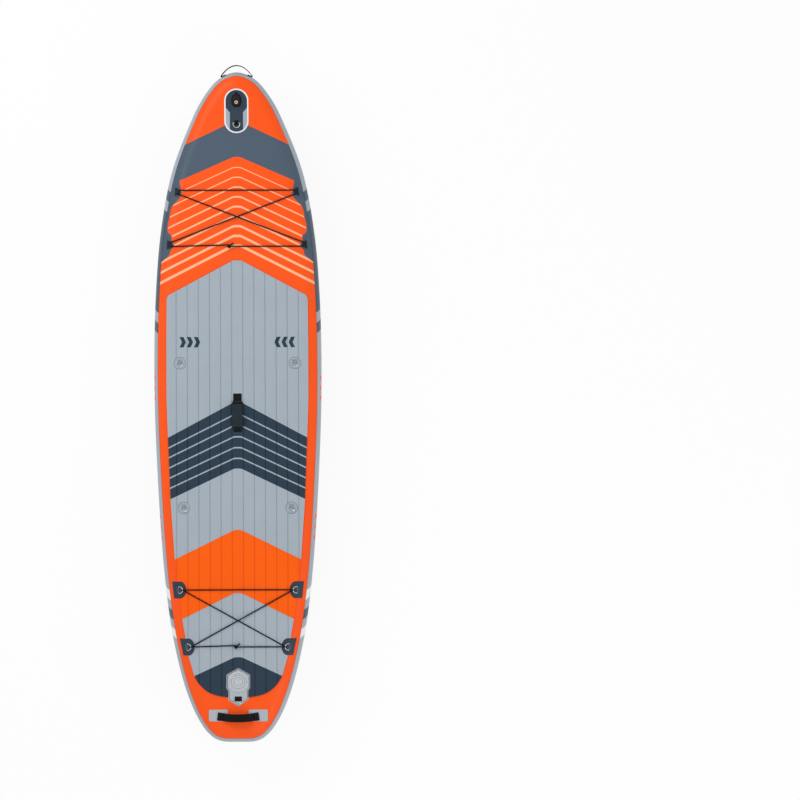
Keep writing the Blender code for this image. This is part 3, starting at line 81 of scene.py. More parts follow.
# Shares of the length and of the half width
PLAN = (
    (0.0, 0.0), (0.004, 0.130), (0.0143, 0.257), (0.0430, 0.432), (0.0795, 0.575), (0.147, 0.780),
    (0.235, 0.916), (0.345, 0.986), (0.475, 1.0), (0.595, 0.968), (0.720, 0.906), (0.802, 0.837),
    (0.861, 0.757), (0.921, 0.633), (0.9597, 0.508), (0.9830, 0.391), (0.9946, 0.2875),
    (0.9991, 0.1925), (1.0, 0.1125), (1.0, 0.0),
)
NOSE_PATCH_AT, NOSE_PATCH_LENGTH, NOSE_PATCH_WIDTH = 0.186, 0.210, 0.115
MOUNT_AT, MOUNT_LENGTH, MOUNT_WIDTH, MOUNT_HEIGHT = 0.137, 0.062, 0.047, 0.020
INSERT_RADIUS, INSERT_AT = 0.0085, 0.143
NOSE_RING_AT = 0.243
FRONT_ANCHORS = {"front": (0.571, 0.0254), "rear": (0.822, 0.0243)}
SEAT_RINGS = {"front": (1.38816, -0.0470), "rear": (2.07904, -0.0420)}
SEAT_PATCH_RADIUS, SEAT_HOLE_RADIUS, SEAT_BAR_FORWARD = 0.028, 0.0289, 0.006
REAR_RINGS = {"front": (2.470, 0.0140), "rear": (2.742, 0.0170)}
# The rear rings' bars lie this much higher, so that the tilted rings clear the foam
REAR_RING_TILT, REAR_RING_EXTRA = math.radians(-28.0), 0.0004
ANCHOR_POST = 0.0050
VALVE_AT, LEASH_AT, TAIL_STRAP_AT = 2.908, 2.990, 3.077
VALVE_HOLE_RADIUS, VALVE_CAP_RADIUS, PLUNGER_BORE = 0.023, 0.032, 0.0029
BOX_HEIGHT = 0.011
CAMERA_ROLL = -0.17
# Depth below the bottom, leading edge and trailing edge, the last two from the fin's base front
CENTER_FIN = (
    (0.0, 0.0, 0.148), (0.041, 0.015, 0.1455), (0.080, 0.0325, 0.1526), (0.114, 0.0515, 0.167),
    (0.143, 0.074, 0.1915), (0.165, 0.099, 0.218), (0.180, 0.122, 0.229), (0.192, 0.153, 0.226),
    (0.198, 0.180, 0.205),
)
SIDE_FIN = (
    (0.0, 0.0, 0.131), (0.027, 0.015, 0.1285), (0.056, 0.034, 0.133), (0.0755, 0.055, 0.1456),
    (0.092, 0.075, 0.169), (0.104, 0.096, 0.177), (0.111, 0.121, 0.174), (0.114, 0.138, 0.163),
)


# Shape of the board


def smooth_curve(points, steps):
    """Centripetal Catmull-Rom curve from the second point to the last but one."""
    made = []
    for a, b, c, d in zip(points, points[1:], points[2:], points[3:]):
        t1 = np.linalg.norm(b - a) ** 0.5
        t2 = t1 + np.linalg.norm(c - b) ** 0.5
        t3 = t2 + np.linalg.norm(d - c) ** 0.5
        for t in np.linspace(t1, t2, steps, endpoint=False):
            ab = (a * (t1 - t) + b * t) / t1
            bc = (b * (t2 - t) + c * (t - t1)) / (t2 - t1)
            cd = (c * (t3 - t) + d * (t - t2)) / (t3 - t2)
            abc = (ab * (t2 - t) + bc * t) / t2
            bcd = (bc * (t3 - t) + cd * (t - t1)) / (t3 - t1)
            made.append((abc * (t2 - t) + bcd * (t - t1)) / (t2 - t1))
    made.append(points[-2])
    return np.array(made)


def through(points, steps, closed=False):
    """Smooth curve through all the points, the ends among them."""
    points = np.array(points, float)
    if closed:
        return smooth_curve(np.vstack([points[-1:], points, points[:2]]), steps)[:-1]
    ends = [2 * points[0] - points[1], 2 * points[-1] - points[-2]]
    return smooth_curve(np.vstack([ends[:1], points, ends[1:]]), steps)


def unit(rows):
    return rows / np.linalg.norm(rows, axis=-1, keepdims=True)


def outline_curve():
    """The port side of the plan from nose to tail, and its outward normals."""
    stations = np.array(PLAN) * [LENGTH, HALF_WIDTH]
    steered = np.vstack([stations[1] * [1, -1], stations, stations[-2] * [1, -1]])
    curve = smooth_curve(steered, 24)
    tangent = np.gradient(curve, axis=0)
    tangent[0] = (0, 1)
    tangent[-1] = (0, -1)
    tangent = unit(tangent)
    return curve, np.stack([-tangent[:, 1], tangent[:, 0]], axis=1)


OUTLINE, NORMALS = outline_curve()
CORE = OUTLINE - NORMALS * RAIL


def rise(s):
    """How far the board curves up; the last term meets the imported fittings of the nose."""
    curve = NOSE_RISE * np.exp(-s / NOSE_RISE_REACH) + TAIL_RISE * np.exp((s - LENGTH) / TAIL_RISE_REACH)
    return curve + 0.0001 + 0.0004 * np.exp(-(((s - 0.255) / 0.05) ** 2))


def rise_slope(s):
    return (rise(s + 1e-4) - rise(s - 1e-4)) / 2e-4


def beyond_core(s, y):
    """Distance of each place beyond the flat of the deck, and the direction it lies in."""
    place = np.stack([s, np.abs(y)], axis=1)
    start, along = CORE[:-1], np.diff(CORE, axis=0)
    length = np.maximum((along**2).sum(1), 1e-16)
    share = np.clip(((place[:, None] - start) * along).sum(2) / length, 0, 1)
    away = place[:, None] - (start + share[..., None] * along)
    distance = np.linalg.norm(away, axis=2)
    nearest = distance.argmin(axis=1)
    rows = np.arange(len(place))
    distance, away = distance[rows, nearest], away[rows, nearest]
    inside = place[:, 1] < np.interp(place[:, 0], CORE[:, 0], CORE[:, 1], left=-1, right=-1)
    distance = np.where(inside, 0, distance)
    direction = away / np.maximum(distance, 1e-9)[:, None]
    direction[distance < 1e-9] = (0, 0)
    direction[:, 1] *= np.where(y < 0, -1, 1)
    return distance, direction


def surface(s, y, side=1):
    """Points and normals of the deck (side 1) or the bottom (side -1)."""
    distance, direction = beyond_core(s, y)
    angle = distance / HALF
    radius = HALF + SHOULDER_EASE * np.minimum(distance / 0.005, 1)
    foot = np.stack([s, y], axis=1) - direction * distance[:, None]
    plan = foot + direction * (radius * np.sin(angle))[:, None]
    height = MID_Z + side * radius * np.cos(angle) + rise(plan[:, 0])
    lean = direction * np.sin(angle)[:, None]
    upward = side * np.cos(angle)
    normal = np.stack([-(lean[:, 0] - rise_slope(plan[:, 0]) * upward), lean[:, 1], upward], axis=1)
    return np.stack([NOSE_X - plan[:, 0], plan[:, 1], height], axis=1), unit(normal)


def flat_half_width(s):
    return float(np.interp(s, CORE[:, 0], CORE[:, 1]))


def spots(table):
    """Row name, side name, sign, s and y without its sign of four fittings."""
    return [
        (row, side, sign, s, flat_half_width(s) + out)
        for row, (s, out) in table.items()
        for side, sign in SIDES
    ]


def drape(points, side=1):
    """Moves points (s, y, height) of a flat pattern onto the board."""
    points = np.array(points, float)
    base, normal = surface(points[:, 0], points[:, 1], side)
    return base + normal * points[:, 2:3]


def frame_at(s, y, height=0.0, side=1, turn=0.0):
    """Frame on the surface: x towards the nose, z out of the board, turned about z."""
    base, normal = surface(np.array([s]), np.array([y]), side)
    z = Vector(normal[0])
    x = (Vector((1, 0, 0)) - z * z.x).normalized()
    turned = Matrix((x, z.cross(x), z)).transposed().to_4x4()
    return Matrix.Translation(Vector(base[0]) + z * height) @ turned @ Matrix.Rotation(turn, 4, "Z")


# Making meshes


def rounded_box(center, length, width, radius, steps=8):
    points = []
    for quarter, (sx, sy) in enumerate(((1, 1), (-1, 1), (-1, -1), (1, -1))):
        middle = np.array((sx * (length / 2 - radius), sy * (width / 2 - radius)))
        for a in np.radians(90 * quarter + np.linspace(0, 90, steps + 1)):
            points.append(np.array(center) + middle + radius * np.array((math.cos(a), math.sin(a))))
    return np.array(points)


def circle(radius, count, center=(0.0, 0.0)):
    angles = np.arange(count) * math.tau / count
    return np.column_stack([center[0] + radius * np.cos(angles), center[1] + radius * np.sin(angles)])


def oval(center, length, width, count, power):
    """Rounded outline; a higher power is squarer."""
    angles = np.arange(count) * math.tau / count
    c, s = np.cos(angles), np.sin(angles)
    x = np.sign(c) * np.abs(c) ** (2 / power) * length / 2
    y = np.sign(s) * np.abs(s) ** (2 / power) * width / 2
    return np.column_stack([center[0] + x, center[1] + y])


def at_height(outline, z):
    """A flat outline as a loop of points at one height."""
    return np.column_stack([outline, np.full(len(outline), z)])


def spaced(points):
    """Distance run along a row of points."""
    return np.concatenate([[0], np.cumsum(np.linalg.norm(np.diff(points, axis=0), axis=1))])


def read_along(places, run, rows):
    """Rows of values read off at places along a run."""
    return np.stack([np.interp(places, run, column) for column in rows.T], axis=1)


def add_object(name, data):
    obj = bpy.data.objects.new(name, data)
    bpy.context.scene.collection.objects.link(obj)
    return obj


@contextmanager
def edited(mesh):
    """The mesh as a bmesh, which goes back with its normals outwards."""
    bm = bmesh.new()
    bm.from_mesh(mesh)
    yield bm
    bmesh.ops.recalc_face_normals(bm, faces=bm.faces)
    bm.to_mesh(mesh)
    bm.free()


def shade(obj, angle):
    """Smooth shading, with sharp edges above the angle, or none for an angle of 0."""
    obj.data.shade_smooth()
    if angle:
        obj.data.set_sharp_from_angle(angle=math.radians(angle))


class Shape:
    """Vertices, faces and a map in metres for each face corner."""

    def __init__(self):
        self.points, self.faces, self.corners = [], [], []

    def loft(self, sections, closed=False, around=None):
        """Skin over equal loops of points; the map runs round each loop, as far as around, and along them."""
        sections = np.array(sections, float)
        count, size = sections.shape[:2]
        start = len(self.points)
        self.points += [tuple(p) for p in sections.reshape(-1, 3)]
        middle = sections[count // 2]
        us = spaced(np.vstack([middle, middle[:1]]))
        if around:
            us = us * around / us[-1]
        centers = sections.mean(axis=1)
        vs = spaced(np.vstack([centers, centers[:1]]))
        if vs[-2] < 1e-6:
            vs = spaced(np.vstack([sections[:, 0], sections[:1, 0]]))
        for i in range(count if closed else count - 1):
            for k in range(size):
                here, there = start + i * size, start + (i + 1) % count * size
                after = (k + 1) % size
                self.faces.append((here + k, here + after, there + after, there + k))
                left, right, low, high = us[k], us[k + 1], vs[i], vs[i + 1]
                self.corners.append(((left, low), (right, low), (right, high), (left, high)))
        if not closed:
            for first in (start, start + (count - 1) * size):
                self.faces.append(tuple(range(first, first + size)))
                flat = sections.reshape(-1, 3)[first - start : first - start + size]
                self.corners.append([(p[0], p[1]) for p in flat])
        return self

    def moved(self, matrix):
        self.points = [tuple(matrix @ Vector(p)) for p in self.points]
        return self

    def piece(self, name, look, slot, *nodes, body="board", smooth=35):
        """Makes the object, lets it ride, and hides the nodes it stands for."""
        mesh = bpy.data.meshes.new(name)
        mesh.from_pydata(self.points, [], self.faces)
        layer = mesh.uv_layers.new(name="UVMap")
        flat = [corner for corners in self.corners for corner in corners]
        for data, corner in zip(layer.data, flat):
            data.uv = corner
        with edited(mesh):
            pass
        return settle(add_object(name, mesh), look, nodes, body, smooth)


def settle(obj, look, nodes, body, smooth):
    obj.data.materials.clear()
    obj.data.materials.append(look)
    shade(obj, smooth)
    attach(obj, body)
    if nodes:
        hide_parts(*nodes)
    return obj


def lathe(profile, steps, lobes=None):
    """Loops of a turned solid, from a profile of (radius, height) that misses the axis."""
    sections = []
    for a in np.arange(steps) * math.tau / steps:
        loop = [(r + (lobes(a, r) if lobes else 0.0), z) for r, z in profile]
        sections.append([(r * math.cos(a), r * math.sin(a), z) for r, z in loop])
    return sections


def turned(profile, steps=48):
    return [at_height(circle(r, steps), z) for r, z in profile]


def tube(path, radius, sides, closed=False):
    """Loops of a round cord along a path."""
    path = np.array(path, float)
    if closed:
        tangents = np.roll(path, -1, axis=0) - np.roll(path, 1, axis=0)
    else:
        tangents = np.gradient(path, axis=0)
    tangents = unit(tangents)
    helper = np.array([0.0, 0.0, 1.0]) if abs(tangents[0][2]) < 0.9 else np.array([1.0, 0.0, 0.0])
    across = np.cross(helper, tangents[0])
    angles = np.arange(sides) * math.tau / sides
    sections = []
    for point, tangent, reach in zip(path, tangents, np.broadcast_to(radius, len(path))):
        across = unit(across - tangent * across.dot(tangent))
        up = np.cross(tangent, across)
        sections.append([point + reach * (math.cos(a) * across + math.sin(a) * up) for a in angles])
    return sections


def strap_section(width, sheet):
    """Section of webbing with round selvedges, as (across, up)."""
    half, r = width / 2 - sheet / 2, sheet / 2
    section = []
    for side, start in ((1, -90), (-1, 90)):
        for a in np.radians(np.linspace(start, start + 180, 7)):
            section.append((side * half + r * math.cos(a), r * math.sin(a)))
    return section


def ribbon(path, ups, width, sheet):
    """Loops of a flat strap along a path: ups points out of its face."""
    path, ups = np.array(path, float), np.array(ups, float)
    tangents = unit(np.gradient(path, axis=0))
    sections = []
    for point, tangent, up in zip(path, tangents, ups):
        side = unit(np.cross(up, tangent))
        out = np.cross(tangent, side)
        sections.append([point + side * a + out * b for a, b in strap_section(width, sheet)])
    return sections


def stitches(rows):
    """Thread that dips in and out: short raised stitches along rows of (point, up)."""
    pitch, radius = 0.0042, 0.00035
    shape = Shape()
    for row in rows:
        points = np.array([p for p, _ in row], float)
        ups = np.array([u for _, u in row], float)
        run = spaced(points)
        for start in np.arange(0.0005, run[-1] - 0.002, pitch):
            places = np.linspace(start, start + pitch * 0.72, 5)
            lift = radius * np.array((-0.6, 0.55, 0.8, 0.55, -0.6))
            line = read_along(places, run, points) + read_along(places, run, ups) * lift[:, None]
            shape.loft(tube(line, radius, 6))
    return shape


def draped_sheet(outline, thickness, side, rim, pitch):
    """A flat sheet with a soft rim, cut into strips and laid on the board."""
    bm = bmesh.new()
    face = bm.faces.new([bm.verts.new((*p, GAP)) for p in outline])
    made = bmesh.ops.extrude_face_region(bm, geom=[face])
    raised = [v for v in made["geom"] if isinstance(v, bmesh.types.BMVert)]
    bmesh.ops.translate(bm, verts=raised, vec=(0, 0, thickness))
    top = GAP + thickness
    edges = [e for e in bm.edges if all(abs(v.co.z - top) < 1e-7 for v in e.verts)]
    bmesh.ops.bevel(bm, geom=edges, offset=rim, segments=2, affect="EDGES", profile=0.5)
    outline = np.array(outline)
    for axis, normal in enumerate(((1, 0, 0), (0, 1, 0))):
        low, high = outline[:, axis].min(), outline[:, axis].max()
        for place in np.arange(low + pitch, high - pitch / 3, pitch):
            parts = [*bm.verts, *bm.edges, *bm.faces]
            spot = tuple(place * n for n in normal)
            bmesh.ops.bisect_plane(bm, geom=parts, dist=1e-6, plane_co=spot, plane_no=normal)
    for vertex, spot in zip(bm.verts, drape([tuple(v.co) for v in bm.verts], side)):
        vertex.co = spot
    bmesh.ops.recalc_face_normals(bm, faces=bm.faces)
    return bm


def sheet_piece(name, outline, look, slot, *nodes, side=1, rim=0.0004, pitch=0.012):
    bm = draped_sheet(outline, PATCH_SHEET, side, rim, pitch)
    mesh = bpy.data.meshes.new(name)
    bm.to_mesh(mesh)
    bm.free()
    return settle(add_object(name, mesh), look, nodes, "board", 28)


def carve(obj, shape, smooth=35):
    """Cuts a closed shape out of a piece."""
    mesh = bpy.data.meshes.new("cutter")
    mesh.from_pydata(shape.points, [], shape.faces)
    with edited(mesh):
        pass
    cutter = add_object("cutter", mesh)
    cut = obj.modifiers.new("cut", "BOOLEAN")
    cut.operation = "DIFFERENCE"
    cut.solver = "EXACT"
    cut.object = cutter
    found = bpy.context.evaluated_depsgraph_get()
    made = bpy.data.meshes.new_from_object(obj.evaluated_get(found))
    obj.modifiers.clear()
    obj.data = made
    bpy.data.objects.remove(cutter)
    bpy.data.meshes.remove(mesh)
    shade(obj, smooth)


def copy_node(node, name, look):
    """A scene piece that starts from a node's own solid, its facets merged."""
    mesh = NODES[node].data.copy()
    mesh.name = name
    with edited(mesh) as bm:
        bmesh.ops.remove_doubles(bm, verts=bm.verts, dist=1e-6)
        bmesh.ops.dissolve_limit(bm, angle_limit=math.radians(0.4), verts=bm.verts, edges=bm.edges)
    return settle(add_object(name, mesh), look, (node,), "board", 0)


def soften(obj, width, segments, angle):
    bevel = obj.modifiers.new("rounding", "BEVEL")
    bevel.width = width
    bevel.segments = segments
    bevel.limit_method = "ANGLE"
    bevel.angle_limit = math.radians(angle)
    bevel.use_clamp_overlap = True
    bevel.harden_normals = True
    obj.data.shade_smooth()


# Shader arithmetic


class Value:
    """A number in a shader: plain Python arithmetic on it adds Math nodes."""

    def __init__(self, tree, socket):
        self.tree, self.socket = tree, socket

    def _math(self, operation, *others, clamp=False):
        node = self.tree.nodes.new("ShaderNodeMath")
        node.operation = operation
        node.use_clamp = clamp
        for index, value in enumerate((self, *others)):
            if isinstance(value, Value):
                self.tree.links.new(value.socket, node.inputs[index])
            else:
                node.inputs[index].default_value = value
        return Value(self.tree, node.outputs[0])

    __add__ = __radd__ = partialmethod(_math, "ADD")
    __sub__ = partialmethod(_math, "SUBTRACT")
    __mul__ = __rmul__ = partialmethod(_math, "MULTIPLY")
    __abs__ = partialmethod(_math, "ABSOLUTE")
    low = partialmethod(_math, "MINIMUM")
    high = partialmethod(_math, "MAXIMUM")
    sine = partialmethod(_math, "SINE")
    exp = partialmethod(_math, "EXPONENT")
    floor = partialmethod(_math, "FLOOR")
    root = partialmethod(_math, "SQRT")

    def __rsub__(self, other):
        return (self * -1.0) + other

    def wrap(self, size):
        return self._math("WRAP", size, 0.0)

    def over(self, limit, soft=0.0006):
        """1 where this is above the limit, 0 below, over a soft edge."""
        return (self - limit)._math("MULTIPLY_ADD", 1 / soft, 0.5, clamp=True)

    def under(self, limit, soft=0.0006):
        return (self - limit)._math("MULTIPLY_ADD", -1 / soft, 0.5, clamp=True)

    def between(self, low, high, soft=0.0006):
        return self.over(low, soft) * self.under(high, soft)


class Look:
    """One material with its Principled shader, place values and helpers."""

    def __init__(self, name, color, roughness=0.5, metallic=0.0):
        self.material = bpy.data.materials.new(name)
        self.material.use_nodes = True
        self.tree = self.material.node_tree
        self.shader = self.tree.nodes["Principled BSDF"]
        self.tune({"Roughness": roughness, "Metallic": metallic})
        self.coords = self.tree.nodes.new("ShaderNodeTexCoord")
        split = self.tree.nodes.new("ShaderNodeSeparateXYZ")
        self.tree.links.new(self.coords.outputs["Object"], split.inputs[0])
        self.x, self.y, self.z = (Value(self.tree, split.outputs[i]) for i in range(3))
        self.color = self.flat(color)

    def flat(self, color):
        node = self.tree.nodes.new("ShaderNodeRGB")
        node.outputs[0].default_value = (*color, 1)
        return node.outputs[0]

    def paint(self, mask, color):
        """Lays a colour over what is there, where the mask is 1."""
        node = self.tree.nodes.new("ShaderNodeMix")
        node.data_type = "RGBA"
        self.tree.links.new(mask.socket, node.inputs["Factor"])
        self.tree.links.new(self.color, node.inputs[6])
        node.inputs[7].default_value = (*color, 1)
        self.color = node.outputs[2]

    def shade(self, amount):
        """Multiplies the colour by a value that varies over the surface."""
        node = self.tree.nodes.new("ShaderNodeVectorMath")
        node.operation = "SCALE"
        self.tree.links.new(self.color, node.inputs[0])
        self.tree.links.new(amount.socket, node.inputs["Scale"])
        self.color = node.outputs[0]

    def noise(self, scale, detail=3.0, rough=0.55):
        node = self.tree.nodes.new("ShaderNodeTexNoise")
        node.inputs["Scale"].default_value = scale
        node.inputs["Detail"].default_value = detail
        node.inputs["Roughness"].default_value = rough
        self.tree.links.new(self.coords.outputs["Object"], node.inputs["Vector"])
        return Value(self.tree, node.outputs[0])

    def uv(self):
        split = self.tree.nodes.new("ShaderNodeSeparateXYZ")
        self.tree.links.new(self.coords.outputs["UV"], split.inputs[0])
        return Value(self.tree, split.outputs[0]), Value(self.tree, split.outputs[1])

    def bump(self, height, strength, distance):
        node = self.tree.nodes.new("ShaderNodeBump")
        node.inputs["Strength"].default_value = strength
        node.inputs["Distance"].default_value = distance
        self.tree.links.new(height.socket, node.inputs["Height"])
        normal = self.shader.inputs["Normal"]
        for link in normal.links:
            self.tree.links.new(link.from_socket, node.inputs["Normal"])
        self.tree.links.new(node.outputs[0], normal)

    def tune(self, values):
        for name, value in values.items():
            self.shader.inputs[name].default_value = value

    def roughen(self, value):
        self.tree.links.new(value.socket, self.shader.inputs["Roughness"])

    def done(self):
        self.tree.links.new(self.color, self.shader.inputs["Base Color"])
        return self.material


def linear(r, g, b):
    """sRGB 0-255 to the linear colour that Blender's shaders take."""
    shares = (value / 255 for value in (r, g, b))
    return tuple(c / 12.92 if c <= 0.04045 else ((c + 0.055) / 1.055) ** 2.4 for c in shares)


ORANGE = linear(255, 85, 0)
PAD_ORANGE = linear(255, 96, 0)
SLATE = linear(74, 90, 106)
PAD_SLATE = linear(42, 59, 75)
PATCH_SLATE = linear(42, 57, 72)
GREY = linear(164, 174, 183)
PAD_GREY = linear(165, 176, 186)
PALE = linear(236, 239, 242)
PEACH = linear(255, 186, 140)
BLACK = linear(15, 15, 17)
# Places of the prints: metres aft of the nose tip on the centre line, and slopes in metres aft for
# each metre off it; an end beyond the tail leaves a block open
DECK_BLOCK = (0.2345, 0.404)
STRIPES_START, STRIPE_PITCH, STRIPES = 0.4545, 0.0466, 9
NOSE_MARKS = ((0.0666, 0.105, 0.48, ORANGE), (0.141, 0.182, 0.42, GREY))
NOSE_LINES = (0.221, 0.2975)
RIB_START, RIB_PITCH, RIBS = 0.3635, 0.0784, 19
BOTTOM_BLOCKS = (
    (1.858, 1.881, 0.518, PALE), (1.936, 2.239, 0.47, ORANGE),
    (2.535, 4.0, 0.43, ORANGE), (3.019, 4.0, 0.43, GREY),
)
BAND_BLOCKS = (
    (0.545, 0.591, SLATE), (0.640, 1.121, SLATE), (1.170, 1.219, SLATE),
    (2.446, 2.495, PALE), (2.5405, 2.588, SLATE), (2.633, 2.678, PALE),
)
# Each small chevron's start, and whether it points to the nose
BOTTOM_CHEVRONS = (
    (0.963, False), (1.018, False), (1.070, False), (1.677, True), (1.732, True), (1.786, True),
)
BAND_CHEVRONS = (
    (1.444, False), (1.491, False), (1.539, False), (2.099, True), (2.149, True), (2.199, True),
)
# A pad's colour and how much painted shade darkens its grooves
PAD_COLORS = {"grey": (PAD_GREY, 0.14), "slate": (PAD_SLATE, 0.42), "orange": (PAD_ORANGE, 0.16)}
PAD_LINES = ((1.631, 0.505), (1.683, 0.49), (1.736, 0.478), (1.788, 0.47), (1.839, 0.465))
# Distances of the three marks from the centre line
PAD_CHEVRONS = (0.177, 0.211, 0.245)


def board_places(look):
    """s from the nose, distance from the centre line, and height from mid thickness."""
    s = NOSE_X - look.x
    rising = (s * (-1 / NOSE_RISE_REACH)).exp() * NOSE_RISE
    rising = rising + ((s - LENGTH) * (1 / TAIL_RISE_REACH)).exp() * TAIL_RISE
    return s, abs(look.y), look.z - MID_Z - rising


def pvc(look):
    """Coated fabric: a faint weave under the coat, slow unevenness and a soft sheen."""
    weave = (look.x * 2600.0).sine() * (look.y * 2600.0).sine()
    look.bump(weave * 0.5 + look.noise(900, 2.0), 0.10, 0.00025)
    look.bump(look.noise(3.2, 2.0), 0.25, 0.004)
    look.roughen(look.noise(14, 3.0) * 0.16 + 0.36)
    look.shade(look.noise(5.0, 4.0) * 0.10 + 0.95)
    look.tune({"Specular IOR Level": 0.24, "Coat Weight": 0.05, "Coat Roughness": 0.30})
    return look.done()


def blunt(side, flat):
    """Distance beyond flat, and none within it, so that a chevron has a cut-off tip."""
    ease = 0.012
    return side._math("SMOOTH_MAX", flat, ease) - flat


def edge_curve(look, s, stations):
    """A curve through the stations (s, value), read at each s."""
    node = look.tree.nodes.new("ShaderNodeFloatCurve")
    curve = node.mapping.curves[0]
    for place in stations[1:-1]:
        curve.points.new(*place)
    curve.points[0].location = stations[0]
    curve.points[-1].location = stations[-1]
    node.mapping.update()
    look.tree.links.new(s.socket, node.inputs["Value"])
    return Value(look.tree, node.outputs[0])


# Where the deck's grey panel ends: s, and the distance from the centre line
PANEL_EDGE = (
    (0.0, 0.276), (0.50, 0.276), (0.56, 0.267), (0.583, 0.264), (0.607, 0.278), (0.638, 0.309),
    (0.692, 0.323), (0.74, 0.332), (0.762, 0.330), (0.781, 0.313), (0.798, 0.313), (0.831, 0.303),
    (0.848, 0.317), (0.869, 0.322), (0.898, 0.356), (0.93, 0.40), (1.0, 0.45),
)


def deck_look():
    look = Look("deck_print", ORANGE, 0.4)
    s, side, _ = board_places(look)
    upper = s - blunt(side, 0.012) * 0.47
    lower = s - blunt(side, 0.014) * 0.437
    start, end = DECK_BLOCK
    edge = edge_curve(look, s, PANEL_EDGE)
    border = side.over(edge, 0.0012) * lower.over(end - 0.0015, 0.001) * s.under(0.925, 0.002)
    look.paint(border.high(upper.over(start, 0.0012) * lower.under(end, 0.0012)), SLATE)
    inside = side.under(edge - 0.003, 0.001).high(s.over(0.905, 0.001))
    for n in range(STRIPES):
        line = s - blunt(side, 0.017) * (0.457 + 0.0062 * n)
        half = 0.0022 + 0.00058 * n
        place = STRIPES_START + STRIPE_PITCH * n
        look.paint(line.between(place - half, place + half) * inside, PEACH)
    # Painted shade: dark paint under the pads, so that the joints between them are dark
    covered = side + (s - 1.9).high(0.0) * 0.09
    painted_shade_under_pads = covered.under(0.315) * s.between(1.22, 2.25) + side.under(0.185) * s.between(2.2, 2.90)
    look.paint(painted_shade_under_pads.low(1.0), PATCH_SLATE)
    return pvc(look)


def paint_chevrons(look, s, side, marks, length, thick, reach, slope):
    """Arrow-like marks across the centre line; each has a start, and whether it points to the nose."""
    for start, towards_nose in marks:
        line = s - side * (slope if towards_nose else -slope)
        low = start if towards_nose else start + length - thick
        look.paint(line.between(low, low + thick) * side.under(reach), ORANGE)


def bottom_look():
    look = Look("bottom_print", SLATE, 0.4)
    s, side, _ = board_places(look)
    near = blunt(side, 0.010)
    for start, end, slope, color in NOSE_MARKS:
        look.paint((s - near * slope).between(start, end) * side.under(0.057), color)
    for start in NOSE_LINES:
        look.paint((s - near * 0.49).between(start, start + 0.006), PALE)
    step = s - side * 0.51 - RIB_START
    count = (step * (1 / RIB_PITCH)).floor()
    within = step - count * RIB_PITCH
    ribs = within.under(count * 0.00068 + 0.0040) * count.between(-0.5, RIBS - 0.5, 0.01)
    look.paint(ribs * side.over(0.1175), PALE)
    for start, end, slope, color in BOTTOM_BLOCKS:
        look.paint((s - near * slope).between(start, end), color)
    paint_chevrons(look, s, side, BOTTOM_CHEVRONS, 0.045, 0.026, 0.039, 0.48)
    return pvc(look)


def band_look():
    look = Look("band_print", GREY, 0.4)
    s, _, height = board_places(look)
    side = abs(height)
    line = s - side * 0.49
    for start, end, color in BAND_BLOCKS:
        look.paint(line.between(start, end), color)
    paint_chevrons(look, s, side, BAND_CHEVRONS, 0.036, 0.019, 0.034, 0.5)
    # Painted shade: the band's welded edges are a little darker
    look.shade(1.0 - side.over(0.0485, 0.0008) * 0.10)
    return pvc(look)


def foam(look):
    """Brushed EVA: fine pores and a short nap."""
    look.bump(look.noise(1100, 4.0, 0.7), 0.5, 0.0004)
    look.bump(look.noise(160, 3.0), 0.20, 0.0005)
    look.shade(look.noise(2200, 2.0, 0.8) * 0.16 + look.noise(9.0, 3.0) * 0.08 + 0.88)
    look.tune({"Sheen Weight": 0.06, "Sheen Roughness": 0.6, "Specular IOR Level": 0.2})
    return look.done()


def pad_look(name):
    color, groove_shade = PAD_COLORS[name.rsplit("_", 1)[1]]
    look = Look(name + "_foam", color, 0.9)
    s, side, _ = board_places(look)
    if name == "pad_chevron_slate":
        for start, bend in PAD_LINES:
            line = s - blunt(side, 0.017) * bend
            look.paint(line.between(start, start + 0.0068, 0.0009), PAD_GREY)
    if name == "pad_front_grey":
        lean = abs(s - 1.2875)
        for inner in PAD_CHEVRONS:
            line = side - lean * 0.46
            look.paint(line.between(inner, inner + 0.0190) * lean.under(0.025), PAD_SLATE)
    # Painted shade: the grooves' floors are darker than the brushed face
    groove = abs((side - GROOVE_PITCH / 2).wrap(GROOVE_PITCH) - GROOVE_PITCH / 2)
    look.shade(1.0 - groove.over(GROOVE_PITCH / 2 - 0.0024, 0.0012) * groove_shade)
    return foam(look)


def webbing_look(name="webbing_weave", color=BLACK, cross=0.0016, along=0.0024):
    """Flat woven strap: ribs across it and a herringbone along it, from its own map in metres."""
    look = Look(name, color, 0.85)
    u, v = look.uv()
    ribs = (v * (math.tau / cross)).sine()
    twill = (u * (math.tau / along) + (v * (math.tau / 4 / cross)).sine() * 1.6).sine()
    height = ribs * 0.5 + twill * 0.7
    look.bump(height, 0.7, 0.0005)
    # Painted light and shade: the weave's raised parts are lighter and its hollows darker; the noise is an
    # uneven tone
    look.shade(height * 0.16 + 0.92 + look.noise(60) * 0.2)
    look.roughen(look.noise(90) * 0.2 + 0.66)
    look.tune({"Specular IOR Level": 0.14, "Sheen Weight": 0.04, "Sheen Roughness": 0.4})
    return look.done()


def cord_look():
    """Braided elastic cord with a pale fleck, from its own map."""
    look = Look("cord_braid", BLACK, 0.75)
    u, v = look.uv()
    turn = u * (math.tau * 6 / CORD_MAP)
    one, other = (turn + v * 1500.0).sine(), (turn - v * 1500.0).sine()
    braid = one.high(other)
    look.bump(braid, 0.8, 0.0006)
    # Painted shade: the braid's hollows are darker
    look.shade(braid * 0.35 + 0.75)
    fleck = (turn * 0.5 + v * 750.0).sine().over(0.985, 0.02)
    look.paint(fleck * 0.22, linear(150, 155, 160))
    look.roughen(look.noise(300) * 0.2 + 0.55)
    look.tune({"Specular IOR Level": 0.14})
    return look.done()


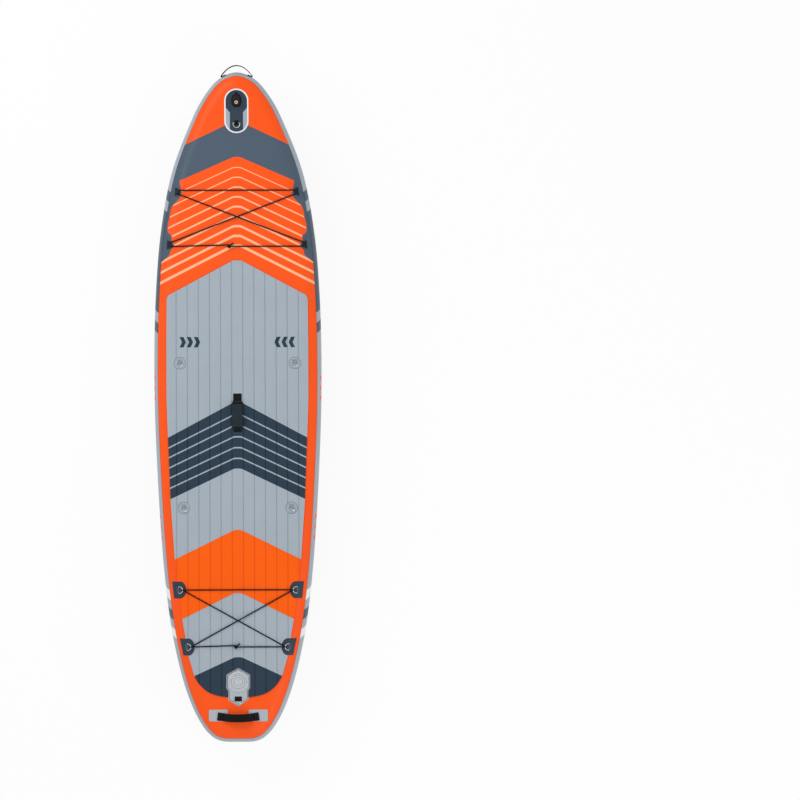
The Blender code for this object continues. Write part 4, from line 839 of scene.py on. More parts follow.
def neoprene_look():
    """Padded sleeve: knitted face on foam, with a slow puckering."""
    look = Look("neoprene_knit", linear(38, 47, 55), 0.8)
    u, v = look.uv()
    knit = (u * 5200.0).sine() * (v * 5200.0).sine()
    look.bump(knit + look.noise(1200, 2.0), 0.45, 0.0003)
    look.bump(look.noise(55, 2.0), 0.3, 0.0012)
    look.shade(look.noise(700, 2.0) * 0.3 + 0.85)
    look.tune({"Specular IOR Level": 0.12, "Sheen Weight": 0.05, "Sheen Roughness": 0.45})
    return look.done()


def thread_look(name, color):
    look = Look(name, color, 0.6)
    look.bump(look.noise(4000, 2.0), 0.5, 0.0002)
    look.shade(look.noise(1800) * 0.3 + 0.85)
    return look.done()


def steel_look():
    look = Look("polished_steel", (0.52, 0.52, 0.51), 0.2, 1.0)
    look.roughen(look.noise(220, 3.0) * 0.14 + 0.12)
    look.bump(look.noise(700, 2.0), 0.05, 0.0002)
    look.shade(look.noise(90) * 0.12 + 0.92)
    return look.done()


def brass_look():
    look = Look("insert_metal", (0.80, 0.52, 0.42), 0.25, 1.0)
    look.bump(look.noise(1400, 2.0), 0.12, 0.0002)
    look.roughen(look.noise(300) * 0.2 + 0.15)
    look.shade(look.noise(120) * 0.2 + 0.88)
    return look.done()


def moulded_look(name, color, roughness, grain=0.2, specular=0.4):
    look = Look(name, color, roughness)
    look.tune({"Specular IOR Level": specular})
    look.bump(look.noise(1300, 3.0, 0.6), grain, 0.0002)
    look.roughen(look.noise(70) * 0.14 + roughness - 0.07)
    look.shade(look.noise(45, 3.0) * 0.12 + 0.94)
    return look.done()


def valve_look():
    """Pale moulding, with painted shade down in the joint round the cap, in the cap's ring groove and in the
    flange's shallow groove.
    """
    look = Look("valve_moulding", linear(190, 195, 200), 0.32)
    center = frame_at(VALVE_AT, 0).translation
    across, along = look.y - center.y, look.x - center.x
    radius = (across * across + along * along).root()
    # Painted shade: dark rings over the joint round the cap, the cap's ring groove and the flange's groove
    look.paint(radius.between(0.0312, 0.0329, 0.0004), linear(84, 90, 96))
    look.paint(radius.between(0.0196, 0.0221, 0.0008), linear(132, 139, 146))
    look.paint(radius.between(0.0386, 0.0406, 0.0006) * 0.7, linear(120, 127, 134))
    look.bump(look.noise(1500, 2.0), 0.10, 0.0002)
    look.roughen(look.noise(80) * 0.16 + 0.24)
    look.shade(look.noise(60, 3.0) * 0.10 + 0.95)
    return look.done()


def fin_look():
    look = Look("fin_moulding", linear(17, 17, 19), 0.3)
    look.tune({"Specular IOR Level": 0.35})
    look.bump(look.noise(800, 2.0), 0.06, 0.0002)
    look.bump(look.noise(25, 2.0), 0.10, 0.0008)
    look.roughen(look.noise(35, 3.0) * 0.2 + 0.24)
    look.shade(look.noise(30, 3.0) * 0.25 + 0.87)
    return look.done()


def patch_look(name, color):
    """Coated fabric patch with a fine weave."""
    return pvc(Look(name, color, 0.5))


def nose_patch_look():
    """White rim, grey side fields and a dark keyhole field round the mount."""
    look = Look("nose_patch_print", PATCH_SLATE, 0.45)
    s, side, _ = board_places(look)
    # Distance from the pill's middle line
    along = (abs(s - NOSE_PATCH_AT) - (NOSE_PATCH_LENGTH - NOSE_PATCH_WIDTH) / 2).high(0.0)
    pill = (along * along + side * side).root()
    disc = ((s - 0.1385) * (s - 0.1385) + side * side).root()
    strip = side.under(0.0315) * s.over(0.137)
    shoulder = (side + (s - 0.1745) * 0.85).under(0.0475) * s.between(0.137, 0.215)
    dark = disc.under(0.0512).high(strip).high(shoulder)
    look.paint(1.0 - dark, GREY)
    look.paint(pill.over(0.0512, 0.0008), PALE)
    return pvc(look)


def valve_plate_look():
    """Light plate with a thin dark line along its rim."""
    look = Look("valve_plate", linear(176, 184, 191), 0.45)
    s, side, _ = board_places(look)
    t = s - VALVE_AT
    front = (t + 0.066) * -0.872 + side * 0.4895
    flank = side - 0.057 + (t - 0.030).high(0.0).low(0.013) * 0.692
    rear = (t - 0.086) * 0.832 + (side - 0.048) * 0.555
    rim = front.high(flank).high(rear)
    look.paint(rim.between(-0.0062, -0.0038, 0.0005), linear(62, 68, 74))
    return pvc(look)


# Hull


def fine_stations():
    """Indices along the outline, closer together where the plan turns."""
    turn = np.degrees(np.arccos(np.clip((NORMALS[1:] * NORMALS[:-1]).sum(1), -1, 1)))
    step = np.linalg.norm(np.diff(OUTLINE, axis=0), axis=1)
    weight = np.concatenate([[0], np.cumsum(turn / 2.6 + step / 0.05)])
    count = int(weight[-1]) + 1
    return sorted({int(np.abs(weight - w).argmin()) for w in np.linspace(0, weight[-1], count)})


def hull_rings(section):
    """Sweeps a section of (distance from the core line, height from mid thickness) round the plan."""
    fine = fine_stations()
    back = fine[-2:0:-1]
    core, outward = (list(rows[fine]) + [rows[i] * [1, -1] for i in back] for rows in (CORE, NORMALS))
    rings = []
    for point, normal in zip(core, outward):
        places = [(*(point + normal * distance), height) for distance, height in section]
        rings.append([(NOSE_X - s, y, MID_Z + h + float(rise(s))) for s, y, h in places])
    return rings


def arc(radius, degrees):
    return [(radius * math.cos(a), radius * math.sin(a)) for a in np.radians(degrees)]


def skin_shape(side):
    """Face with its rolled rim, closed over both of its sides."""
    angles = np.linspace(90, 30, 11)
    section = [(d, side * h) for d, h in arc(HALF, angles) + arc(HALF - SKIN, angles[::-1])]
    rings = hull_rings(section)
    size, count = len(section), len(rings)
    shape = Shape()
    shape.points = [p for ring in rings for p in ring]
    for i in range(count):
        here, there = i * size, (i + 1) % count * size
        shape.faces += [(here + k, here + k + 1, there + k + 1, there + k) for k in range(size - 1)]
    for edge in (0, size - 1):
        for i in range(count // 2):
            loop = (i, i + 1, (count - i - 1) % count, (count - i) % count)
            loop = [v for n, v in enumerate(loop) if v not in loop[:n]]
            shape.faces.append(tuple(v * size + edge for v in loop))
    shape.corners = [[(0.0, 0.0)] * len(face) for face in shape.faces]
    return shape


def make_hull():
    deck = skin_shape(1).piece("deck_skin_print", deck_look(), "pvc_orange", "deck_skin")
    hole = Shape().loft(turned([(VALVE_HOLE_RADIUS, z) for z in (-0.02, 0.02)]))
    carve(deck, hole.moved(frame_at(VALVE_AT, 0)))
    skin_shape(-1).piece("bottom_skin_print", bottom_look(), "pvc_slate", "bottom_skin")
    angles = np.linspace(-40, 40, 21)
    rim = [(RAIL - 0.0002, 40.3), (RAIL - 0.0007, 40.3)]
    section = arc(RAIL, angles) + [p for r, a in rim for p in arc(r, (a,))]
    section += arc(HALF + GAP, angles[::-1]) + [p for r, a in rim[::-1] for p in arc(r, (-a,))]
    band = Shape().loft(hull_rings(section), closed=True)
    band.piece("side_band_print", band_look(), "pvc_light_grey", "side_band", smooth=50)


# Deck pad


def make_pads():
    for node in [n for n in NODES if n.startswith("pad_")]:
        pad = copy_node(node, node + "_foam", pad_look(node))
        low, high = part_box(node)
        for _, _, sign, s, y in spots(SEAT_RINGS):
            if low[0] < NOSE_X - s < high[0]:
                rim = circle(SEAT_HOLE_RADIUS, 96, (s, sign * y))
                carve(pad, Shape().loft([drape(at_height(rim, z)) for z in (-0.003, 0.009)]))
        soften(pad, 0.0009, 2, 28)


# Rings and their webbing


def ring_points(width, depth):
    half = width / 2
    bow = [(depth * math.sin(a), half * math.cos(a)) for a in np.radians(np.linspace(25, 155, 9))]
    bar = [(0, y) for y in np.linspace(-half + 0.003, half - 0.003, 5)]
    return [(x, y, 0) for x, y in bar + [(0.0015, half - 0.0003)] + bow + [(0.0015, -half + 0.0003)]]


def make_ring(node, place, looks, width=RING_WIDTH, depth=RING_DEPTH):
    body = "board" if node.startswith("rear_") else node
    path = through(ring_points(width, depth), 4, closed=True)
    shape = Shape().loft(tube(path, RING_WIRE, 14, closed=True), closed=True).moved(place)
    shape.piece(node + "_wire", looks["steel"], "stainless_steel", node, body=body, smooth=0)


def make_saddle(name, place, width, look, slot, thread, extra=0.0):
    """Webbing over a ring's bar, both legs sewn down with two rows of stitches each."""
    bar = RING_WIRE + GAP + extra
    outer, sink, leg = bar + WEBBING, -0.0006, 0.008
    over = [(outer * math.cos(a), bar + outer * math.sin(a)) for a in np.radians(np.linspace(180, 0, 19))]
    under = [(bar * math.cos(a), bar + bar * math.sin(a)) for a in np.radians(np.linspace(0, 180, 15))]
    reach = leg + outer
    profile = [(-reach, sink), (-reach, WEBBING), (-outer - 0.0004, WEBBING), *over]
    profile += [(outer + 0.0004, WEBBING), (reach, WEBBING), (reach, sink), (bar, sink), *under, (-bar, sink)]
    shape = Shape().loft([[(x, y, z) for x, z in profile] for y in (-width / 2, width / 2)]).moved(place)
    shape.corners = [[(v, u) for u, v in corners] for corners in shape.corners]
    soften(shape.piece(name, look, slot), 0.0003, 2, 40)
    half = width / 2 - 0.0025
    rows = [
        [((x, y, WEBBING), (0, 0, 1)) for y in (-half, half)]
        for x in (-reach + 0.0014, -outer - 0.0022, outer + 0.0022, reach - 0.0014)
    ]
    stitches(rows).moved(place).piece(name + "_stitching", thread, slot)


def make_seat_rings(looks):
    slot, width = "patch_light_grey", 0.022
    for row, side, sign, s, y in spots(SEAT_RINGS):
        name, y = f"{row}_{side}", sign * y
        outline, node = circle(SEAT_PATCH_RADIUS, 96, (s, y)), f"seat_ring_patch_{name}"
        sheet_piece(f"seat_patch_{name}", outline, looks["seat_patch"], slot, node, rim=0.0006)
        place = frame_at(s - SEAT_BAR_FORWARD, y, GAP + PATCH_SHEET)
        make_saddle(f"seat_webbing_{name}", place, width, looks["grey_webbing"], slot, looks["grey_thread"])
        ring = frame_at(s - SEAT_BAR_FORWARD, y, RING_LIFT, turn=math.pi)
        make_ring(f"seat_d_ring_{name}", ring, looks)


def rear_patch_outline(s, y, sign):
    """Straight outer side along the deck's edge and a rounded inner side."""
    half, deep = 0.040, 0.030
    slant = (flat_half_width(s + half) - flat_half_width(s - half)) / 2
    turn = np.radians(np.linspace(4, 176, 41))
    inner = [(s - half * math.cos(a), y - 0.004 - deep * math.sin(a)) for a in turn]
    outer = [(s + half, y + deep + slant), (s - half, y + deep - slant)]
    return [(a, sign * b) for a, b in inner + outer]


def make_rear_rings(looks):
    slot, width, webbing, thread = "patch_slate", 0.022, looks["slate_webbing"], looks["thread"]
    for row, side, sign, s, y in spots(REAR_RINGS):
        name, outline, y = f"{row}_{side}", rear_patch_outline(s, y, sign), sign * y
        sheet_piece(f"rear_patch_{name}", outline, looks["dark_patch"], slot, f"rear_ring_patch_{name}")
        place = frame_at(s, y, GAP + PATCH_SHEET, turn=math.pi / 2)
        make_saddle(f"rear_webbing_{name}", place, width, webbing, slot, thread, REAR_RING_EXTRA)
        ring = frame_at(s, y, RING_LIFT + REAR_RING_EXTRA, turn=-sign * math.pi / 2)
        make_ring(f"rear_d_ring_{name}", ring @ Matrix.Rotation(REAR_RING_TILT, 4, "Y"), looks)


# Nose


def make_nose(looks):
    slot, lift = "patch_slate", 0.0003
    corner = NOSE_PATCH_WIDTH / 2 - 0.001
    outline = rounded_box((NOSE_PATCH_AT, 0), NOSE_PATCH_LENGTH, NOSE_PATCH_WIDTH, corner, 28)
    sheet_piece("nose_patch_print", outline, nose_patch_look(), slot, "nose_patch", pitch=0.010)
    place = frame_at(NOSE_RING_AT, 0, GAP + PATCH_SHEET)
    make_saddle("nose_webbing", place, 0.020, looks["webbing"], slot, looks["thread"], lift)
    ring = frame_at(NOSE_RING_AT, 0, RING_LIFT + lift, turn=math.pi)
    make_ring("nose_d_ring", ring, looks, 0.034, 0.022)
    make_mount(looks)
    make_nose_strap(looks)


def make_mount(looks):
    """Moulded base with a waist, a pocket for the insert and a small eye in front."""
    black, slot = looks["black"], "moulded_black"
    base = 2 * GAP + PATCH_SHEET
    place = frame_at(MOUNT_AT, 0, base)
    levels = ((0.985, 0.0), (1.0, 0.0007), (1.0, 0.0024), (0.985, 0.0033), (0.94, 0.0060), (0.90, 0.0090))
    levels += ((0.83, 0.0130), (0.76, 0.0168), (0.705, 0.0188), (0.680, 0.0196), (0.655, MOUNT_HEIGHT))
    pocket = ((0.0110, 0.0), (0.0102, 0.0003), (0.0092, 0.0012), (0.0091, 0.0092))
    loops = [at_height(oval((0, 0), MOUNT_LENGTH * k, MOUNT_WIDTH * k, 72, 2.6), z) for k, z in levels]
    center = (MOUNT_AT - INSERT_AT, 0)
    loops += [at_height(circle(radius, 72, center), MOUNT_HEIGHT - down) for radius, down in pocket]
    Shape().loft(loops).moved(place).piece("camera_mount_body", black, slot, "camera_mount_base")
    # The eye's outer and inner loops start at the same bearing, so that they pair up
    lug = MOUNT_LENGTH / 2 + 0.002
    outer = rounded_box((lug, 0), 0.014, 0.014, 0.004, 11)
    outer, inner = (
        loop[np.argsort(np.arctan2(loop[:, 1], loop[:, 0] - lug), kind="stable")]
        for loop in (outer, circle(0.0028, len(outer), (lug, 0)))
    )
    rim = outer * 0.96 + np.array((lug, 0)) * 0.04
    heights = ((outer, 0.0), (outer, 0.0062), (rim, 0.0070), (inner, 0.0070), (inner, 0.0))
    eye = Shape().loft([at_height(loop, z) for loop, z in heights], closed=True)
    eye.moved(place).piece("camera_mount_eye", black, slot)
    thread = [(0.0032 + 0.0003 * (n % 2), -0.0085 + 0.00062 * n) for n in range(14)]
    wide = INSERT_RADIUS
    profile = [(0.0032, -0.009), (wide, -0.009), (wide, -0.0002), (wide - 0.0003, 0.0001)]
    profile += [(wide - 0.001, 0.0008), (0.0048, 0.0008), (0.0042, 0.0007), (0.0036, 0.0001)]
    insert = Shape().loft(lathe(profile + thread[::-1], 64), closed=True)
    insert.moved(frame_at(INSERT_AT, 0, base + MOUNT_HEIGHT))
    insert.piece("camera_mount_nut", looks["brass"], "brass_insert", "camera_mount_insert")


def spread(values, steps):
    """Values at the places that through() makes between them."""
    values = np.array(values, float)
    places = np.linspace(0, len(values) - 1, (len(values) - 1) * steps + 1)
    return read_along(places, np.arange(len(values)), values)


def make_nose_strap(looks):
    """Webbing bowed in front of the nose, its ends folded back under it on the side band."""
    sheet, tall, half = 0.0028, 0.038, 0.0025
    near = RAIL + GAP + sheet / 2
    ends = [i for i in range(len(OUTLINE) // 2) if 0.050 < OUTLINE[i, 1] < 0.074][::4]
    tab = [CORE[i] + NORMALS[i] * near for i in ends]
    root, out = CORE[ends[-1]], NORMALS[ends[-1]]
    along = np.array((out[1], -out[0]))
    fold = [
        root + out * (near + half - half * math.cos(a)) + along * half * math.sin(a)
        for a in np.radians((30, 60, 90, 120, 150, 180))
    ]
    tip = np.array([OUTLINE[0, 0] - 0.0324, 0.0])
    shares = ((0.85, 0.93), (0.67, 0.82), (0.46, 0.69), (0.29, 0.55), (0.15, 0.40), (0.06, 0.26))
    bow = [tip + (fold[-1] - tip) * np.array(share) for share in shares]
    port = tab + fold + bow
    plan = through(port + [tip] + [p * [1, -1] for p in reversed(port)], 4)
    level = MID_Z + rise(np.maximum(plan[:, 0], 0.0))
    level = np.minimum(level, level[0] + 0.004)
    path = np.column_stack([NOSE_X - plan[:, 0], plan[:, 1], level])
    ups = np.cross((0, 0, 1.0), np.gradient(path, axis=0))
    shape = Shape().loft(ribbon(path, ups, tall, sheet))
    shape.piece("nose_handle_webbing", looks["webbing"], "webbing_black", "nose_handle_strap")
    # Box of stitches through both layers, on the outer face
    first = (len(tab) + len(fold)) * 4
    heights = (-0.0155, 0.0155)
    rows = []
    for _, sign in SIDES:
        span = [i for i in range(first, len(path) - first) if 0.052 < path[i, 1] * sign < 0.068]
        out = [unit(ups[i]) for i in span]
        out = [u if u[1] * sign > 0 else -u for u in out]
        face = [(path[i] + u * (sheet / 2), u) for i, u in zip(span, out)]
        rows += [[(p + (0, 0, high), u) for p, u in face] for high in heights]
        rows += [[(p + (0, 0, high), u) for high in heights] for p, u in (face[0], face[-1])]
    stitches(rows).piece("nose_handle_stitching", looks["thread"], "webbing_black")


# Bungees


def soft_corners(corners, share):
    """Closed outline with each corner rounded over a share of its sides."""
    points = []
    for before, here, after in zip(corners[-1:] + corners[:-1], corners, corners[1:] + corners[:1]):
        b, h, a = np.array(before), np.array(here), np.array(after)
        first, last = h + (b - h) * share, h + (a - h) * share
        points += [first * (1 - t) ** 2 + h * 2 * t * (1 - t) + last * t**2 for t in np.linspace(0, 1, 11)]
    return points


def make_anchors(looks):
    """Round foot and post under a flat three-cornered cap that holds the cord down."""
    wide = ANCHOR_POST + 0.0025
    foot = ((wide, 0.0), (wide, 0.0008), (wide - 0.0004, 0.0012), (ANCHOR_POST + 0.0006, 0.0018))
    foot += ((ANCHOR_POST, 0.0026), (ANCHOR_POST, 0.0082), (ANCHOR_POST + 0.0008, 0.0094))
    cap = ((0.0091, 0.88), (0.0093, 0.94), (0.0099, 0.985), (0.0106, 1.0), (0.0117, 1.0), (0.0126, 0.975))
    cap += ((0.0133, 0.92), (0.0136, 0.85), (0.0136, 0.66), (0.0131, 0.60), (0.0130, 0.50))
    for row, side, sign, s, y in spots(FRONT_ANCHORS):
        corners = ((-0.025, 0.013), (0.025, 0.009), (0.003 if row == "front" else -0.003, -0.014))
        center = np.mean(corners, axis=0)
        outline = np.array(soft_corners(corners, 0.20)) - center
        loops = [at_height((center + outline * size) * [1, sign], z) for z, size in cap]
        shape = Shape().loft(turned(foot, 40)).loft(loops).moved(frame_at(s, sign * y, 2 * GAP))
        name = f"front_anchor_{row}_{side}"
        shape.piece(name + "_body", looks["black"], "moulded_black", name)


def around(center, radius, start, end, height):
    """Arc about a post in the flat pattern, from one bearing to another in degrees."""
    return [
        (center[0] - radius * math.cos(a), center[1] + radius * math.sin(a), height)
        for a in np.radians(np.linspace(start, end, 7))
    ]


def between(start, end, height, hump):
    """Points of a straight run of cord, low on the deck, with a hump where it crosses another."""
    start, end = np.array(start), np.array(end)
    length = np.linalg.norm(end[:2] - start[:2])
    count = max(4, int(length / 0.035))
    made = []
    for t in np.linspace(0, 1, count + 1)[1:-1]:
        point = start + (end - start) * t
        ease = min(1.0, min(t, 1 - t) * length / 0.03)
        point[2] = (start[2] if t < 0.5 else end[2]) * (1 - ease) + height * ease
        point[2] += hump * math.exp(-((abs(t - 0.5) * length / 0.03) ** 2))
        made.append(tuple(point))
    return made


def knot_coil(s, y, height):
    """Two turns of the cord's end round its own start, then the loose end."""
    radius = 2 * CORD_RADIUS + 0.0003
    made = []
    for a in np.linspace(math.pi, math.pi * 5, 17):
        advance = (a - math.pi) / math.tau * radius
        made.append((s + radius * math.cos(a), y + 0.010 - advance, height + radius * math.sin(a)))
    end = made[-1]
    made.append((end[0] - 0.0035, end[1] - 0.006, end[2] - 0.002))
    made.append((end[0] - 0.0110, end[1] - 0.012, end[2] - 0.004))
    return made


def make_cord(node, corners, knot_place, low, look):
    """Runs a cord from its knot round four corners and back, low over what it lies on."""
    s, y = knot_place
    high = low + 2 * CORD_RADIUS + 0.0010
    path = [(s, y + 0.015, high), (s, y + 0.004, high), (s, y - 0.008, high)]
    for index, turn in enumerate(corners):
        hump = 2 * CORD_RADIUS + 0.0012 if index == len(corners) - 1 else 0.0
        path += between(path[-1], turn[0], low, hump) + turn
    knot = knot_coil(s, y, high)
    path += between(path[-1], knot[0], low, 0.0) + knot
    line = through(drape(path), 4)
    radii = np.full(len(line), CORD_RADIUS)
    radii[[0, -1]] = CORD_RADIUS * 0.72
    radii[[1, -2]] = CORD_RADIUS * 0.95
    shape = Shape().loft(tube(line, radii, 14), around=CORD_MAP)
    shape.piece(node + "_cord", look, "cord_black", node, smooth=50)


def make_front_bungee(looks):
    posts = {row: (s, y) for row, _, _, s, y in spots(FRONT_ANCHORS)}
    wrap, low = ANCHOR_POST + CORD_RADIUS + 0.0004, CORD_RADIUS + 2 * GAP
    (s1, y1), (s2, y2) = posts["front"], posts["rear"]
    lean = math.degrees(math.atan2(y1 + y2, s2 - s1))
    # Bearings are from the nose towards port
    corners = [
        around((s2, -y2), wrap, -180, lean - 90, low + 0.0026),
        around((s1, y1), wrap, 90 + lean, 0, low + 0.0026),
        around((s1, -y1), wrap, 0, -90 - lean, low + 0.0026),
        around((s2, y2), wrap, 90 - lean, 180, low + 0.0026),
    ]
    make_cord("front_bungee", corners, (s2 + wrap, 0.033), low, looks["cord"])


def ring_turn(s, y, sign):
    """Half turn round a ring's bow, in over the top and out below."""
    distance, _ = beyond_core(np.array([s]), np.array([y]))
    lean = distance[0] / HALF - REAR_RING_TILT
    base, normal = surface(np.array([s]), np.array([y]), 1)
    bar = base[0] + normal[0] * (RING_LIFT + REAR_RING_EXTRA)
    center = bar + RING_DEPTH * np.array((0, -math.cos(lean), math.sin(lean)))
    wrap = RING_WIRE + CORD_RADIUS + 0.0003
    made = []
    for a in np.radians(np.linspace(75, -75, 7)):
        out, up = center[1] + wrap * math.cos(a), center[2] + wrap * math.sin(a)
        made.append((s, sign * out, up - MID_Z - HALF - float(rise(s))))
    return made


def make_rear_bungee(looks):
    low = PAD_THICKNESS + GAP + CORD_RADIUS + 0.0004
    turns = {(row, sign): ring_turn(s, y, sign) for row, _, sign, s, y in spots(REAR_RINGS)}
    corners = [
        turns["rear", -1], turns["front", 1][::-1], turns["front", -1], turns["rear", 1][::-1],
    ]
    make_cord("rear_bungee", corners, (REAR_RINGS["rear"][0], 0.006), low, looks["cord"])


# Handles


def carry_path(front, rear, tab, sheet):
    """The handle's middle line and its upward normals, a slow rise and then a quick fall."""
    stations = (0.0, 0.05, 0.12, 0.25, 0.45, 0.62, 0.75, 0.87, 0.95, 1.0)
    heights = (0.0, 0.16, 0.37, 0.56, 0.81, 0.97, 1.0, 0.82, 0.33, 0.0)
    begin, end = front + tab / 2, rear - tab / 2
    middle = np.linspace(front + 0.006, rear - 0.006, 17)
    places = np.concatenate([[front - tab / 2], middle, [rear + tab / 2]])
    height = GAP + sheet / 2 + 0.029 * np.interp((places - begin) / (end - begin), stations, heights)
    for _ in range(2):
        height[1:-1] = height[:-2] * 0.25 + height[1:-1] * 0.5 + height[2:] * 0.25
    path = through(drape(np.column_stack([places, np.zeros(19), height])), 5)
    ups = np.cross((0, 1.0, 0), unit(np.gradient(path, axis=0)))
    return path, ups * np.sign(ups[:, 2:3])


def make_carry_handle(looks):
    """Webbing with its two ends sewn down, through a padded sleeve with bound ends."""
    front, rear, tab, sheet, wide = 1.54564, 1.71964, 0.022, 0.0026, 0.036
    path, ups = carry_path(front, rear, tab, sheet)
    strap = Shape().loft(ribbon(path, ups, wide, sheet))
    strap.piece("carry_handle_webbing", looks["webbing"], "webbing_black", "carry_handle_strap")
    rows = []
    edges = (-wide / 2 + 0.003, wide / 2 - 0.003)
    inner, outer = tab / 2 - 0.006, tab / 2 - 0.002
    for first, last in ((front - outer, front + inner), (rear - inner, rear + outer)):
        span = [i for i in range(len(path)) if first < NOSE_X - path[i, 0] < last]
        ends = [(path[i] + ups[i] * sheet / 2, ups[i]) for i in (span[0], span[-1])]
        corners = [[(p + (0, y, 0), up) for y in edges] for p, up in ends]
        rows += [list(pair) for pair in zip(*corners)] + corners
    stitches(rows).piece("carry_handle_stitching", looks["thread"], "webbing_black")
    make_sleeve(path[14:-11], ups[14:-11], sheet, wide, looks)


def make_sleeve(path, ups, sheet, wide, looks):
    run, rim = spaced(path), 0.004
    end = run[-1]
    rounded = np.linspace(0, rim, 7)
    fine = np.concatenate([rounded[:-1], np.linspace(rim, end - rim, 41), end - rounded[::-1][1:]])
    line, up = read_along(fine, run, path), read_along(fine, run, ups)
    near = np.minimum(np.minimum(fine, end - fine) / rim, 1)
    ease = 0.0018 * (1 - np.sqrt(1 - (1 - near) ** 2))
    swell = 0.0004 * np.sin(fine * 210.0) - 2 * ease
    outer = sleeve_loops(line, up, 0.0490 + swell, 0.0105 + swell, 3.2)
    inner = sleeve_loops(line, up, wide + 0.0010, sheet + 0.0010, 9.0)
    grip = Shape().loft(outer + inner[::-1], closed=True)
    obj = grip.piece("carry_handle_sleeve", looks["neoprene"], "neoprene_black", "carry_handle_grip")
    lip = 0.0008 * np.sqrt(np.clip(1 - np.linspace(-1, 1, 9) ** 4, 0, 1))
    for name, low, high in (("front", 0.0045, 0.0165), ("rear", end - 0.0165, end - 0.0045)):
        kept = np.linspace(low, high, 9)
        line, up = read_along(kept, run, path), read_along(kept, run, ups)
        tape = sleeve_loops(line, up, 0.0488 + lip, 0.0103 + lip, 3.2)
        back = sleeve_loops(line, up, 0.0470, 0.0085, 3.2)
        binding = Shape().loft(tape + back[::-1], closed=True)
        binding.piece(f"carry_handle_binding_{name}", looks["binding"], "neoprene_black")


def sleeve_loops(line, ups, wide, tall, power):
    """Rounded loops across the board, along the handle."""
    wide, tall = np.broadcast_to(wide, len(line)), np.broadcast_to(tall, len(line))
    return [
        [point + np.array((0, a, 0)) + up * b for a, b in oval((0, 0), w, t, 40, power)]
        for point, up, w, t in zip(line, ups, wide, tall)
    ]


def make_tail_handle(looks):
    """Strap across the tail with a high bow, its ends sewn to two square patches."""
    webbing, slot = looks["webbing"], "webbing_black"
    reach, sheet, wide, bow, bend = 0.099, 0.0026, 0.038, 0.038, 0.008
    for side, sign in SIDES:
        outline = rounded_box((TAIL_STRAP_AT - 0.008, sign * 0.095), 0.056, 0.091, 0.006)
        node = f"tail_handle_patch_{side}"
        sheet_piece(f"tail_patch_{side}", outline, looks["pale_patch"], "patch_light_grey", node)
    low = 2 * GAP + PATCH_SHEET + sheet / 2 + 0.0002
    shares = ((1.0, 0.0), (0.90, 0.0), (0.78, 0.0), (0.70, 0.10), (0.60, 0.34), (0.48, 0.63))
    shares += ((0.34, 0.85), (0.18, 0.97), (0.0, 1.0))
    port = [(a * reach, low + h * bow) for a, h in shares]
    line = port + [(-y, h) for y, h in port[-2::-1]]
    flat = np.array([(TAIL_STRAP_AT - bend / 2 + bend * (1 - (y / reach) ** 2), y, h) for y, h in line])
    ups = np.tile(surface(flat[:1, 0], np.zeros(1))[1], (len(flat), 1))
    for ends in (slice(0, 3), slice(-3, None)):
        ups[ends] = surface(flat[ends, 0], flat[ends, 1])[1]
    path, ups = through(drape(flat), 6), spread(ups, 6)
    strap = Shape().loft(ribbon(path, ups, wide, sheet))
    strap.piece("tail_handle_webbing", webbing, slot, "tail_handle_strap")
    # The folded ends, with a box and cross of stitches
    lift, half = sheet / 2 + 0.0008, wide / 2 - 0.003
    rows = []
    for side, sign in SIDES:
        span = [i for i in range(len(path)) if path[i, 1] * sign > reach * 0.78]
        top = [path[i] + ups[i] * lift for i in span]
        fold = Shape().loft(ribbon(top, [ups[i] for i in span], wide + 0.0006, 0.0016))
        fold.piece(f"tail_handle_fold_{side}", webbing, slot)
        first, last = (path[i] + ups[i] * (lift + 0.0008) for i in (span[1], span[-2]))
        box = [first - (half, 0, 0), first + (half, 0, 0), last + (half, 0, 0), last - (half, 0, 0)]
        for a, b in ((0, 1), (1, 2), (2, 3), (3, 0), (0, 2), (1, 3)):
            rows.append([(box[a], ups[span[1]]), (box[b], ups[span[1]])])
    stitches(rows).piece("tail_handle_stitching", looks["thread"], slot)


# Valve


def block(x0, x1, y0, y1, z0, z1):
    return [[(x0, y0, z), (x1, y0, z), (x1, y1, z), (x0, y1, z)] for z in (z0, z1)]


def make_valve(looks):
    place = frame_at(VALVE_AT, 0)
    seat = 2 * GAP + PATCH_SHEET
    top = seat + 0.0050
    recess = top - 0.0040
    make_valve_plate(looks, place)
    make_valve_body(looks, place, seat, recess, top)
    make_valve_cap(looks, place, recess, top)
    make_valve_spring(looks, place)


def make_valve_plate(looks, place):
    """Six-sided plate with a narrower end for the leash ring."""
    slot = "patch_light_grey"
    port = ((-0.066, 0.0), (-0.034, 0.057), (0.030, 0.057), (0.043, 0.048), (0.086, 0.048), (0.118, 0.0))
    port = [(VALVE_AT + s, y) for s, y in port]
    outline = port + [(s, -y) for s, y in port[-2:0:-1]]
    plate = sheet_piece("valve_plate", outline, valve_plate_look(), slot, "valve_patch")
    hole = Shape().loft(turned([(VALVE_HOLE_RADIUS, z) for z in (-0.02, 0.03)], 96))
    carve(plate, hole.moved(place), 28)
    leash = frame_at(LEASH_AT, 0, GAP + PATCH_SHEET)
    make_saddle("leash_webbing", leash, 0.034, looks["webbing"], slot, looks["thread"])
    make_ring("leash_d_ring", frame_at(LEASH_AT, 0, RING_LIFT, turn=math.pi), looks, 0.042, 0.026)


